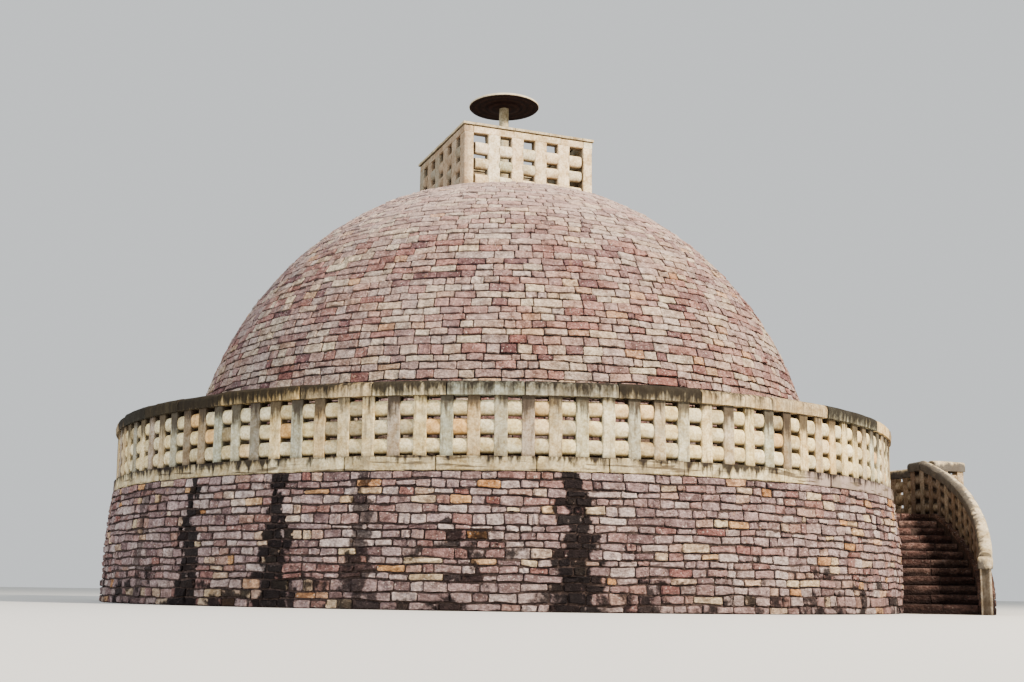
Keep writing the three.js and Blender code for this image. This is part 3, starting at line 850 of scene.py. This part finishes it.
def stair_rails():
    """The outer rail of both flights: posts on the wall, bars that follow the climb, and a newel."""
    posts, bars = Stones(71), Stones(72)
    height = STAIR_COPING[1]
    reach = math.degrees((STAIR_POST / 2 - BAR_HOUSED) / STAIR_RAIL_R)
    seat = 0.02  # how far a post runs into what is below and above it, which slope
    for side in (-1, 1):
        for angle in RAIL_ANGLES:
            newel = angle == NEWEL_ANGLE
            size = NEWEL if newel else STAIR_POST
            centre = polar(side * angle, STAIR_RAIL_R, 0)[:2]
            along = polar(side * angle + 90, 1, 0)[:2]
            foot = 0.0 if newel else stringer_top(angle) - seat
            top = stair_coping_top(angle) - height + seat
            lay_post(posts, centre, along, size, size, foot, top, STAIR_WORN)
        for near, far in pairs(RAIL_ANGLES):
            ends = (near + reach, far - reach)
            across = polar(side * (near + far) / 2, 1, 0)[:2]
            feet = [stringer_top(a) for a in ends]
            clears = [stair_coping_top(a) - height - foot for a, foot in zip(ends, feet)]
            talls = [BAR_SHARE * clear * STAIR_BAR_SLIM for clear in clears]
            for level in BAR_LEVELS:
                heights = [foot + level * clear for foot, clear in zip(feet, clears)]
                points = [polar(side * a, STAIR_RAIL_R, z) for a, z in zip(ends, heights)]
                lay_bar(bars, *points, across, STAIR_BAR_BULGE * STAIR_POST, talls)
    nodes = nodes_named("stair_rail")
    make_rail("stair", posts, bars, stair_post_sandstone(), stair_post_sandstone(), "railing_stone", nodes)


def stair_copings():
    """The coping that swings down with each flight, and the blunt block that ends it on the newel."""
    stones = Stones(73)
    width, height = STAIR_COPING
    block_length = 0.3
    end = math.degrees(block_length / 2 / STAIR_RAIL_R)
    cuts = np.linspace(LANDING_ANGLE, NEWEL_ANGLE - end, 7)
    for side in (-1, 1):

        def place(angle, nudge, across, up):
            a = angle + math.degrees(nudge / STAIR_RAIL_R)
            return polar(side * a, STAIR_RAIL_R + across, stair_coping_top(a) - height + up)

        def place_end(u, v, w):
            angle = NEWEL_ANGLE + np.degrees(w / STAIR_RAIL_R)
            return polar(side * angle, STAIR_RAIL_R + u, NEWEL_COPING_TOP - height / 2 + v)

        for low, high in [(RAIL_ANGLES[0] - end, cuts[0])] + pairs(cuts):
            lay_coping(stones, np.linspace(low + 0.02, high - 0.02, 6), place, width, height)
        lay_block(stones, (width + 0.02, height + 0.01, block_length), place_end, bevel=0.035)
    nodes = nodes_named("stair_coping")
    stones.make("stair_coping_stones", stair_coping_sandstone(), "railing_stone", nodes, smooth=35)


def porch_rails():
    """The rail round the porch: posts and bars as on the stair, but level."""
    posts, bars = Stones(74), Stones(75)
    foot, top = DRUM_TOP, STAIR_COPING_TOP - STAIR_COPING[1]
    clear = top - foot
    tall = BAR_SHARE * clear * STAIR_BAR_SLIM
    junction = polar(LANDING_ANGLE, STAIR_RAIL_R, 0)
    middle = (PORCH_Y + junction[1]) / 2
    pitch = 2 * PORCH_X / PORCH_BAYS
    half = STAIR_POST / 2 - BAR_HOUSED

    def post(x, y, along):
        lay_post(posts, np.array([x, y]), along, STAIR_POST, STAIR_POST, foot, top, STAIR_WORN)

    def fill(bays, across):
        for level in BAR_LEVELS:
            z = foot + level * clear
            for start, end in bays:
                lay_bar(bars, (*start, z), (*end, z), np.array(across), PORCH_BAR, (tall, tall))

    for k in range(PORCH_BAYS + 1):
        x = -PORCH_X + k * pitch
        post(x, PORCH_Y, (1.0, 0.0))
        if k < PORCH_BAYS:
            fill([((x + half, PORCH_Y), (x + pitch - half, PORCH_Y))], (0.0, -1.0))
    for side in (-1, 1):
        x = side * PORCH_X
        post(x, middle, (0.0, 1.0))
        corner_bay = ((x, PORCH_Y + half), (x, middle - half))
        stair_bay = ((x, middle + half), (side * junction[0] * 1.006, junction[1] - half))
        fill([corner_bay, stair_bay], (1.0, 0.0))
    nodes = nodes_named("porch_rail")
    make_rail("porch", posts, bars, porch_post_sandstone(), porch_post_sandstone(), "railing_stone", nodes)


def porch_copings():
    """The level coping round the porch, cut to the curve of the stair's where they meet."""
    stones = Stones(76)
    width, height = STAIR_COPING
    foot = STAIR_COPING_TOP - height
    outer = STAIR_RAIL_R + width / 2
    reach = PORCH_X - width / 2
    for side in (-1, 1):
        x = side * PORCH_X

        def place(y, nudge, across, up):
            limit = -np.sqrt((outer + 0.004) ** 2 - (x + across) ** 2)
            return np.column_stack([x + across, np.minimum(y + nudge, limit), foot + up])

        stations = np.linspace(PORCH_Y - width / 2, -math.sqrt(outer**2 - reach**2), 6)
        lay_coping(stones, stations, place, width, height)

    def place_front(x, nudge, across, up):
        return np.column_stack([np.full(len(across), x + nudge), PORCH_Y + across, foot + up])

    for low, high in pairs(np.linspace(-reach, reach, 5)):
        lay_coping(stones, np.linspace(low + 0.004, high - 0.004, 6), place_front, width, height)
    nodes = nodes_named("porch_coping")
    stones.make("porch_coping_stones", stair_coping_sandstone(), "railing_stone", nodes, smooth=35)


# Materials. Every one is sandstone, in the state that its place on the stupa brings.
class Sandstone:
    """A sandstone's shader tree, built up coat by coat. Its first colour goes by the stone's number."""

    def __init__(self, name, stops, roughness=0.9):
        self.material = bpy.data.materials.new(name)
        self.material.use_nodes = True
        self.tree = self.material.node_tree
        self.shader = self.tree.nodes["Principled BSDF"]
        for socket, value in (("Roughness", roughness), ("IOR", 1.5), ("Specular IOR Level", 0.1)):
            self.shader.inputs[socket].default_value = value
        self.where = self.add("TexCoord", out="Object")
        self.stone = self.add("Attribute", out="Fac", attribute_name="stone")
        self.joint = self.add("Attribute", out="Fac", attribute_name="joint")
        self.height = self.add("Attribute", out="Fac", attribute_name="height")
        self.own = self.add("Math", self.stone, 40.0, operation="MULTIPLY")
        self.colour = self.add("ValToRGB", self.stone, stops=stops)

    def add(self, kind, *values, stops=(), out=None, **named):
        """Adds a node and gives its output: the one named, or else its first. Values go to its inputs in
        order. Named ones are settings, or else go to the input of that name."""
        made = self.tree.nodes.new("ShaderNode" + kind)
        settings = [name for name in named if hasattr(made, name)]
        for name in settings:
            setattr(made, name, named.pop(name))
        for _ in stops[2:]:
            made.color_ramp.elements.new(0.5)
        for k, (position, code) in enumerate(stops):
            made.color_ramp.elements[k].position = position
            made.color_ramp.elements[k].color = srgb(code)
        sockets = [socket for socket in made.inputs if socket.enabled]
        pairs = list(zip(sockets, values)) + [(made.inputs[name], value) for name, value in named.items()]
        for socket, value in pairs:
            if isinstance(value, bpy.types.NodeSocket):
                self.tree.links.new(value, socket)
            else:
                socket.default_value = value
        return made.outputs[out] if out else next(s for s in made.outputs if s.enabled)

    def coat(self, value, clean, covered, most, code, kind="MIX"):
        """Lays a colour over what is there, or multiplies with it: none of it where the value is at clean,
        and most of it, which is a share, where the value is at covered."""
        thick = self.add("MapRange", value, clean, covered, 0.0, most, interpolation_type="SMOOTHSTEP")
        self.colour = self.add("Mix", thick, self.colour, srgb(code), data_type="RGBA", blend_type=kind)

    def lumps(self, size_mm, each=False, squash=(1, 1, 1), detail=5.0):
        """How the stone's tone wanders, in lumps about size_mm wide, through the wall or on each stone."""
        where = self.add("Mapping", self.where, Scale=squash)
        own = self.own if each else 0.0
        settings = {"Scale": 1000 / size_mm, "Detail": detail, "Roughness": 0.6, "W": own}
        return self.add("TexNoise", where, noise_dimensions="4D", **settings)

    def total(self, first, *scaled):
        """A value with shares of others on top, each a pair of a value and its share."""
        for value, times in scaled:
            first = self.add("Math", value, times, first, operation="MULTIPLY_ADD")
        return first

    def measure(self):
        """A second number of each stone's own, for how much of a stain it takes."""
        return self.add("Math", self.own, operation="FRACT")

    def up(self):
        return self.add("SeparateXYZ", self.where, out="Z")

    def from_axis(self):
        """Metres from the stupa's upright axis."""
        flat = self.add("VectorMath", self.where, (1, 1, 0), operation="MULTIPLY")
        return self.add("VectorMath", flat, out="Value", operation="LENGTH")

    def plan_angle(self):
        """Degrees from -Y, positive towards +X."""
        x = self.add("SeparateXYZ", self.where, out="X")
        y = self.add("SeparateXYZ", self.where, out="Y")
        back = self.add("Math", y, -1.0, operation="MULTIPLY")
        turn = self.add("Math", x, back, operation="ARCTAN2")
        return self.add("Math", turn, operation="DEGREES")

    def roughen(self, size_mm, depth_mm, squash=(1, 1, 1)):
        """The relief that the tool and the weather left, too fine for the mesh."""
        relief = self.lumps(size_mm, each=True, squash=squash, detail=7.0)
        bump = self.add("Bump", Height=relief, Distance=depth_mm / 1000, Strength=0.85)
        self.tree.links.new(bump, self.shader.inputs["Normal"])

    def finish(self):
        self.tree.links.new(self.colour, self.shader.inputs["Base Color"])
        return self.material


DRUM_STONES = (
    (0.0, "#7F6766"), (0.14, "#A18987"), (0.32, "#B49E9B"), (0.46, "#A07A73"), (0.56, "#BEA9A3"),
    (0.7, "#D0BFB8"), (0.8, "#8D605B"), (0.87, "#C2A392"), (0.93, "#E2CDA8"), (0.975, "#D0955A"),
    (1.0, "#D6CABC"),
)
DOME_STONES = (
    (0.0, "#7E5C5C"), (0.13, "#AD8E86"), (0.3, "#BFA598"), (0.45, "#C4B0A6"), (0.6, "#DAC8B0"),
    (0.72, "#B99084"), (0.82, "#A0736B"), (0.87, "#C6A997"), (0.95, "#E2D2B4"), (0.985, "#CFA077"),
    (1.0, "#C3A590"),
)
# Runs of black algae where water leaves the kerb: plan angle, half width in degrees, and strength.
RUNS = (
    (-163.0, 0.8, 0.6), (-151.7, 0.9, 0.95), (-137.9, 1.0, 1.0), (-127.4, 0.7, 0.75), (-103.7, 1.2, 1.0),
)
# A wide stain that leaves the wall's top clean: plan angle, half width in degrees, and height.
STAIN = (-115.0, 4.5, 0.75)


def rubble(name, stops, joint_dirt_and_shade=0.65):
    """Split sandstone laid in courses: rough along its bedding, clouded, dark joints of dirt and painted
    shade.
    """
    stone = Sandstone(name, stops)
    stone.coat(stone.lumps(170, each=True), 0.3, 0.7, 0.8, "#8A807E", "MULTIPLY")
    stone.coat(stone.lumps(48, each=True, squash=(1, 1, 1.7)), 0.36, 0.64, 0.62, "#84797A", "MULTIPLY")
    stone.coat(stone.lumps(120, each=True), 0.6, 0.75, 0.4, "#B58A64")
    stone.coat(stone.lumps(34), 0.57, 0.69, 0.55, "#E6DACE")
    # Dirt and painted shade in the joints; the shade is heavier along the tops and bottoms.
    stone.coat(stone.joint, 0.4, 1.0, joint_dirt_and_shade, "#2B2226")
    stone.roughen(60, 60, squash=(1, 1, 1.3))
    return stone


def black_runs(stone):
    """How much black algae covers the drum: runs below the kerb's joints, and blotches at its foot.
    Each stone takes it in its own measure, so a run's edges step from stone to stone."""
    up = stone.up()
    measure = stone.measure()
    wander, step = 4.0, 1.8  # degrees that lumps and a stone's own measure can add to its angle
    angle = stone.total(stone.plan_angle(), (stone.lumps(240, detail=6.0), wander), (measure, step))
    mean = (wander + step) / 2
    width = stone.total(2.0, (up, -0.62))
    cover = 0.0
    smooth = {"interpolation_type": "SMOOTHSTEP"}
    for centre, half, strength in RUNS:
        off = stone.add("Math", angle, centre + mean, operation="SUBTRACT")
        off = stone.add("Math", off, operation="ABSOLUTE")
        reach = stone.add("Math", width, half, operation="MULTIPLY")
        off = stone.add("Math", off, reach, operation="DIVIDE")
        run = stone.add("MapRange", off, 1.3, 0.85, 0.0, strength, **smooth)
        cover = stone.add("Math", cover, run, operation="MAXIMUM")
    centre, half, height = STAIN
    off = stone.add("Math", angle, centre + mean, operation="SUBTRACT")
    above = stone.add("Math", up, height, operation="SUBTRACT")
    patch = stone.total(stone.lumps(260, detail=6.0), (measure, 0.3))
    for away, reach in ((off, half), (above, height)):
        away = stone.add("Math", away, reach, operation="DIVIDE")
        away = stone.add("Math", away, away, operation="MULTIPLY")
        patch = stone.total(patch, (away, -0.3))
    worn = stone.add("MapRange", stone.lumps(110), 0.28, 0.42, 0.35, 1.0, **smooth)
    cover = stone.add("Math", cover, worn, operation="MULTIPLY")
    low = stone.total(stone.lumps(500, detail=6.0), (up, -0.18), (measure, 0.16))
    thin = stone.lumps(420, squash=(1, 1, 0.12))
    blotches = ((patch, 0.54, 0.68, 0.85), (low, 0.55, 0.64, 0.85), (thin, 0.6, 0.72, 0.5))
    for value, clean, covered, most in blotches:
        blotch = stone.add("MapRange", value, clean, covered, 0.0, most, **smooth)
        cover = stone.add("Math", cover, blotch, operation="MAXIMUM")
    return cover


def drum_sandstone():
    """Purple-grey sandstone, split by hand: dull and patchy, and black where water runs down it."""
    stone = rubble("split_purple_sandstone", DRUM_STONES)
    stone.coat(stone.up(), 0.7, 0.0, 0.35, "#5A4A46")
    stone.coat(black_runs(stone), 0.0, 1.0, 0.97, "#100D0E")
    return stone.finish()


def paint_light_from_above(stone):
    """Painted light: the stone is painted paler towards the dome's top, as light from above falls there
    most.
    """
    stone.coat(stone.up(), 5.8, 7.8, 0.35, "#D6BEB3")


def dome_sandstone():
    """The dome's sandstone: painted light makes it paler towards the top; damp and painted shade darken it
    behind the railing.
    """
    stone = rubble("purple_sandstone_painted_light_and_shade", DOME_STONES, 0.5)
    stone.coat(stone.lumps(2200, detail=3.0), 0.5, 0.68, 0.3, "#A1908C")
    pink = stone.lumps(1300, squash=(1, 1, 1.7), detail=4.0)
    stone.coat(pink, 0.48, 0.62, 0.4, "#DFC0B8", "MULTIPLY")
    paint_light_from_above(stone)
    # Damp and painted shade: the stones low down, behind the railing, are painted dark.
    stone.coat(stone.up(), 3.3, 2.3, 0.8, "#2A2120")
    return stone.finish()


def crown_sandstone():
    """The slabs on the dome's flat top, painted paler as the courses below them, as painted light from
    above.
    """
    stone = rubble("sandstone_slabs_painted_light", DOME_STONES, 0.55)
    paint_light_from_above(stone)
    return stone.finish()


def paving_stone():
    """Slabs that feet have worn: greyer and a little smoother than the walls, and kept dark as painted shade
    behind the railing.
    """
    # Dark stops: the slabs' grey stone and painted shade behind the railing.
    stops = ((0.0, "#7E7068"), (0.5, "#938476"), (1.0, "#A89988"))
    return rubble("worn_grey_sandstone_slabs_painted_shade", stops).finish()


def lime_mortar():
    """Old lime mortar deep in the joints: nearly black from dirt and shade."""
    stone = Sandstone("blackened_lime_mortar", ((0.0, "#2E2522"), (1.0, "#2E2522")), 0.97)
    stone.coat(stone.lumps(40), 0.35, 0.7, 1.0, "#4A3D38")
    return stone.finish()


RAIL_STONES = (
    (0.0, "#8A7A66"), (0.13, "#D2BC92"), (0.26, "#A2AEA4"), (0.38, "#F4E0A8"), (0.5, "#AC9E90"),
    (0.6, "#ECCE92"), (0.74, "#FCEEC4"), (0.87, "#C8C8B0"), (1.0, "#8C8478"),
)
BAR_STONES = (
    (0.0, "#D8CCA8"), (0.3, "#FAE6AE"), (0.5, "#E2D8B4"), (0.78, "#FFF2C8"), (0.87, "#F0BE78"),
    (0.91, "#CDBD94"), (1.0, "#8E826A"),
)
KERB_STONES = ((0.0, "#CFC19C"), (0.35, "#E4D7B0"), (0.7, "#C7BA98"), (1.0, "#D9CAA2"))


def dressed(name, stops, patch_mm, lichen):
    """Dressed buff sandstone: fine in its grain, clouded with tan, and grey where lichen holds."""
    stone = Sandstone(name, stops)
    stone.coat(stone.lumps(patch_mm, each=True), 0.35, 0.7, 0.8, "#B8A98C", "MULTIPLY")
    stone.coat(stone.lumps(32, each=True), 0.38, 0.65, 0.7, "#BFB29B", "MULTIPLY")
    stone.coat(stone.lumps(300, each=True), 0.5, 0.7, lichen, "#858474")
    stone.roughen(45, 10)
    return stone


def post_sandstone():
    """Buff sandstone posts: streaked with grey, black on their heads, and painted shade behind their faces.
    """
    stone = dressed("lichened_buff_sandstone", RAIL_STONES, 130, 0.5)
    streaks = stone.lumps(45, each=True, squash=(1, 1, 0.12))
    stone.coat(streaks, 0.5, 0.68, 0.6, "#655A4A")
    wet = stone.total(stone.height, (streaks, 0.7), (stone.measure(), 0.3), (stone.lumps(500), 0.5))
    stone.coat(wet, 1.35, 1.65, 0.9, "#342C25")
    stone.coat(stone.height, 0.08, 0.0, 0.5, "#4A4032")
    # Painted shade: all that lies behind the posts' outer faces, their sides and backs, is painted dark.
    stone.coat(stone.from_axis(), 7.39, 7.35, 0.75, "#2C231B")
    return stone.finish()


def crossbar_sandstone():
    """The crossbars' yellower sandstone: clean in the middle, dark at the ends and edges with dirt and
    painted shade.
    """
    stone = dressed("sheltered_yellow_sandstone", BAR_STONES, 160, 0.25)
    # Dirt and painted shade at the ends, where the bars meet the posts, and along the top and bottom edges,
    # by the gaps.
    stone.coat(stone.joint, 0.3, 1.0, 0.8, "#4A3D29")
    stone.coat(stone.height, 0.2, 0.0, 0.85, "#33291F")
    stone.coat(stone.height, 0.93, 1.0, 0.7, "#453A2A")
    return stone.finish()


def kerb_sandstone():
    """The kerb: buff blocks split along their bedding, with black stains that run down from the top.
    Towards the stair it is the grey-purple stone of the wall below."""
    stone = dressed("rain_stained_buff_sandstone", KERB_STONES, 200, 0.35)
    angle = stone.plan_angle()
    stone.coat(angle, -73.4, -72.0, 0.85, "#8D7B78")
    stone.coat(stone.lumps(60, squash=(0.08, 0.08, 1)), 0.53, 0.6, 0.85, "#463A2C")
    stone.coat(stone.lumps(260, squash=(1, 1, 0.5)), 0.48, 0.6, 0.5, "#6F6350")
    drips = stone.lumps(80, squash=(1, 1, 0.2), detail=7.0)
    reach = stone.total(0.0, (stone.height, 0.6), (drips, 2.2), (stone.lumps(900), 0.9))
    runs = stone.total(reach, (stone.measure(), 0.35))
    stone.coat(runs, 1.98, 2.4, 0.95, "#1A1514")
    stone.coat(stone.joint, 0.4, 1.0, 0.7, "#352B22")
    return stone.finish()


def coping_sandstone():
    """The rim's coping: black algae over its crown, in drips that fade down its cream side, and more black
    as painted shade towards -142 degrees.
    """
    stone = dressed("algae_crowned_buff_sandstone", RAIL_STONES, 200, 0.35)
    streaks = stone.lumps(45, squash=(1, 1, 0.06), detail=7.0)
    drips = stone.lumps(80, squash=(1, 1, 0.3), detail=7.0)
    # Painted shade: from -122 towards -142 degrees more of the coping is painted black.
    shaded = stone.add("MapRange", stone.plan_angle(), -122.0, -142.0, interpolation_type="SMOOTHSTEP")
    reach = stone.total(0.0, (stone.height, 0.5), (streaks, 0.8), (drips, 1.3), (stone.measure(), 1.0))
    reach = stone.total(reach, (shaded, 0.8))
    stone.coat(streaks, 0.42, 0.6, 0.6, "#665B4C")
    stone.coat(reach, 1.5, 2.15, 0.96, "#17130F")
    stone.coat(stone.joint, 0.5, 1.0, 0.8, "#221D1A")
    return stone.finish()


HARMIKA_STONES = ((0.0, "#F8E4C0"), (0.4, "#EED4AC"), (0.6, "#FCECCC"), (0.8, "#D2D4BA"), (1.0, "#F0DCB6"))


def harmika_sandstone():
    """The square railing's buff sandstone: dry and pale, with a few green-grey blocks. Behind the faces it
    is brown with old algae and painted shade, and its +Y side is painted darker as painted shade."""
    stone = dressed("dry_buff_sandstone", HARMIKA_STONES, 180, 0.2)
    stone.coat(stone.lumps(60, each=True, squash=(1, 1, 0.2)), 0.55, 0.72, 0.45, "#8E7F66")
    sides = [stone.add("SeparateXYZ", stone.where, out=axis) for axis in "XY"]
    sides = [stone.add("Math", side, operation="ABSOLUTE") for side in sides]
    face = stone.add("Math", *sides, operation="MAXIMUM")
    half = HARMIKA / 2
    # Painted shade: the +Y side, away from the key light, is painted darker.
    stone.coat(stone.add("SeparateXYZ", stone.where, out="Y"), half - 0.2, half - 0.02, 0.62, "#6C574B")
    # Old algae and painted shade: what lies behind the outer faces, in the openings, is painted dark.
    stone.coat(face, half - 0.015, half - 0.07, 0.72, "#33281E")
    stone.coat(stone.joint, 0.4, 1.0, 0.6, "#3E3226")
    return stone.finish()


def harmika_cap_sandstone():
    """The thin cap on the square railing: greyer, black where its stones meet, and a painted shadow line
    along its foot.
    """
    stone = dressed("thin_buff_cap_sandstone", ((0.0, "#BDAF92"), (1.0, "#D6C7A6")), 150, 0.5)
    # Painted shadow: the lowest quarter of the cap is painted dark, for the shadow line under its lip.
    stone.coat(stone.height, 0.25, 0.0, 0.7, "#3A3026")
    stone.coat(stone.joint, 0.5, 1.0, 0.8, "#2C241D")
    return stone.finish()


def umbrella_sandstone():
    """The umbrella's slab: black-brown underneath, in rings, with algae and painted shade, and a pale rim
    and top.
    """
    # Algae and painted shade: all but the rim and top is painted black-brown.
    stone = Sandstone("algae_and_painted_shade_sandstone", ((0.0, "#2F1D18"), (1.0, "#2F1D18")))
    settings = {"wave_type": "RINGS", "rings_direction": "Z", "Scale": 2.2, "Distortion": 1.5}
    stone.coat(stone.add("TexWave", stone.where, out="Fac", **settings), 0.0, 1.0, 1.0, "#211311")
    stone.coat(stone.height, 0.54, 0.6, 1.0, "#CFC2A6")
    stone.coat(stone.lumps(120), 0.4, 0.7, 0.5, "#8C7F70", "MULTIPLY")
    stone.roughen(60, 8)
    return stone.finish()


def shaft_sandstone():
    """The umbrella's shaft: the grey-buff stone of the square railing's older posts, with painted shade
    under the slab.
    """
    stone = dressed("grey_buff_sandstone", ((0.0, "#D0C4A4"), (1.0, "#D0C4A4")), 150, 0.4)
    # Painted shade: the top fifth, just under the slab, is painted darker.
    stone.coat(stone.height, 0.8, 1.0, 0.5, "#4A3E30")
    return stone.finish()


def damp(name, stops, most):
    """Rubble in the damp corner of the stair: most of it under brown-black algae."""
    stone = rubble(name, stops, 0.85)
    stone.coat(stone.lumps(420, detail=6.0), 0.3, 0.62, most, "#231816")
    return stone


def stair_sandstone():
    """Blocks of the steps and their walls: brown, and black below the edge that feet rub clean."""
    stops = ((0.0, "#8A685F"), (0.5, "#AE887D"), (1.0, "#CDAD9D"))
    stone = damp("damp_brown_sandstone", stops, 0.65)
    rubbed = stone.total(stone.height, (stone.lumps(130, squash=(1, 1, 2)), 1.6))
    stone.coat(rubbed, 1.62, 1.05, 0.8, "#1C1312")
    stone.coat(stone.up(), 1.8, 0.5, 0.6, "#120C0B")
    return stone.finish()


def stair_slab_sandstone():
    """Slabs that carry the rail and pave the landing: the same brown stone, rubbed a little cleaner."""
    stops = ((0.0, "#6B5046"), (0.6, "#86695B"), (1.0, "#9D8674"))
    return damp("damp_worn_sandstone_slabs", stops, 0.5).finish()


def landing_sandstone():
    """The walls under the landing: the drum's purple stone, with more algae on it."""
    return damp("damp_purple_sandstone", DRUM_STONES, 0.4).finish()


def damp_posts(name, stops):
    """Posts and bars round the stair: brown and grey-green with algae, darker at their feet."""
    stone = dressed(name, stops, 120, 0.4)
    stone.coat(stone.lumps(45, each=True, squash=(1, 1, 0.2)), 0.5, 0.66, 0.6, "#4A3E32")
    stone.coat(stone.height, 0.7, 0.0, 0.55, "#2E241D")
    stone.coat(stone.joint, 0.3, 1.0, 0.6, "#241C17")
    return stone


def porch_post_sandstone():
    """The porch's posts and bars: the paler of the damp stones, as more sun reaches them."""
    stops = ((0.0, "#A6937E"), (0.35, "#C4B295"), (0.65, "#97826F"), (1.0, "#D2C3A5"))
    return damp_posts("drying_brown_sandstone", stops).finish()


def stair_post_sandstone():
    """The stair's posts and bars: the darkest of the damp stones, as painted shade, and painted nearly black
    behind their faces.
    """
    # Darker than the porch's stops: painted shade in the stairwell.
    stops = ((0.0, "#8B7C70"), (0.35, "#A6998A"), (0.65, "#7C695C"), (1.0, "#BCB09C"))
    stone = damp_posts("damp_lichened_sandstone_painted_shade", stops)
    # Painted shade: what lies inside the posts' faces, on both sides of the rail, is painted nearly black.
    inside = stone.add("Math", stone.from_axis(), STAIR_RAIL_R, operation="SUBTRACT")
    inside = stone.add("Math", inside, operation="ABSOLUTE")
    stone.coat(inside, STAIR_POST / 2 - 0.006, STAIR_POST / 2 - 0.035, 0.8, "#1A1310")
    return stone.finish()


def stair_coping_sandstone():
    """The stair's coping: rubbed by hands to a pale cream on its crown, grey-black down its sides."""
    stops = ((0.0, "#D2C4A6"), (0.5, "#E0D2B4"), (1.0, "#BFB398"))
    stone = dressed("rubbed_cream_sandstone", stops, 180, 0.35)
    high = stone.add("MapRange", stone.up(), 1.1, 2.2)
    inner = stone.add("MapRange", stone.from_axis(), STAIR_RAIL_R + 0.03, STAIR_RAIL_R - 0.04)
    patches = stone.lumps(120, squash=(1, 1, 0.5))
    grey = stone.total(patches, (stone.height, -0.5), (high, 0.25), (inner, 0.25))
    stone.coat(grey, 0.22, 0.48, 0.88, "#3A3839")
    stone.coat(stone.joint, 0.5, 1.0, 0.7, "#2E2620")
    return stone.finish()


def carried_over_solids():
    """The solids that still show are the mortar and the core behind the stones."""
    mortar = lime_mortar()
    for name in ("drum", "dome", "landing", "stair_left", "stair_right"):
        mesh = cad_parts[name].data
        mesh.materials.clear()
        mesh.materials.append(mortar)


# The studio.
FLOOR_R = 400.0


def studio_floor():
    """A pale, matt floor that runs out of sight."""
    material = bpy.data.materials.new("pale_studio_floor")
    material.use_nodes = True
    shader = material.node_tree.nodes["Principled BSDF"]
    shader.inputs["Base Color"].default_value = srgb("#C9C8C4")
    shader.inputs["Roughness"].default_value = 0.95
    rim = polar(np.arange(0, 360, 5), FLOOR_R, 0.0)
    mesh = bpy.data.meshes.new("studio_floor")
    mesh.from_pydata(rim, [], [range(len(rim))])
    mesh.materials.append(material)
    floor = put_in_scene("studio_floor", mesh)


CAMERA_AT = Vector((-23.577, 9.5004, 0.2579))
CAMERA_PITCH = 8.0365  # degrees up
CAMERA_TURN = 1.5866  # degrees to the left of the axis
CAMERA_ROLL = 0.8122


def camera():
    """The view of the photograph: from low down, a little up at the stupa."""
    data = bpy.data.cameras.new("camera")
    data.lens = 44.79
    data.sensor_width = 36.0
    data.shift_x = 0.045
    data.shift_y = 0.07
    data.clip_end = 1000.0
    made = put_in_scene("camera", data)
    made.location = CAMERA_AT
    direction = math.atan2(-CAMERA_AT.y, -CAMERA_AT.x) - math.pi / 2 + math.radians(CAMERA_TURN)
    turn = Euler((math.pi / 2 + math.radians(CAMERA_PITCH), 0, direction), "XYZ").to_matrix()
    roll = Euler((0, 0, math.radians(CAMERA_ROLL)), "XYZ").to_matrix()
    made.rotation_euler = (turn @ roll).to_euler()
    bpy.context.scene.camera = made


def lamp(name, at, size, power, colour):
    """A round lamp that shines at the stupa's middle."""
    data = bpy.data.lights.new(name, "AREA")
    data.shape = "DISK"
    data.size = size
    data.energy = power
    data.color = srgb(colour)[:3]
    made = put_in_scene(name, data)
    made.location = at
    made.rotation_euler = (Vector((0, 0, 4)) - Vector(at)).to_track_quat("-Z", "Y").to_euler()


def studio_light():
    """Warm sun high on the camera's right, a cool fill on its left, and a bright grey sky."""
    world = bpy.data.worlds.new("studio")
    world.use_nodes = True
    background = world.node_tree.nodes["Background"]
    background.inputs["Color"].default_value = srgb("#EEF2F4")
    background.inputs["Strength"].default_value = 0.95
    bpy.context.scene.world = world
    lamp("key", (-33.0, -17.0, 30.0), 5.0, 60000.0, "#FFF1DF")
    lamp("fill", (-16.0, 34.0, 16.0), 16.0, 8000.0, "#EEF4FF")


carried_over_solids()
drum_wall()
dome_wall()
dome_crown()
walkway()
rim_kerb()
rim_coping()
rim_railing()
harmika_railing()
harmika_beams()
umbrella()
steps()
stringers()
flight_ends()
landing_walls()
landing_floor()
stair_rails()
stair_copings()
porch_rails()
porch_copings()
studio_floor()
studio_light()
camera()
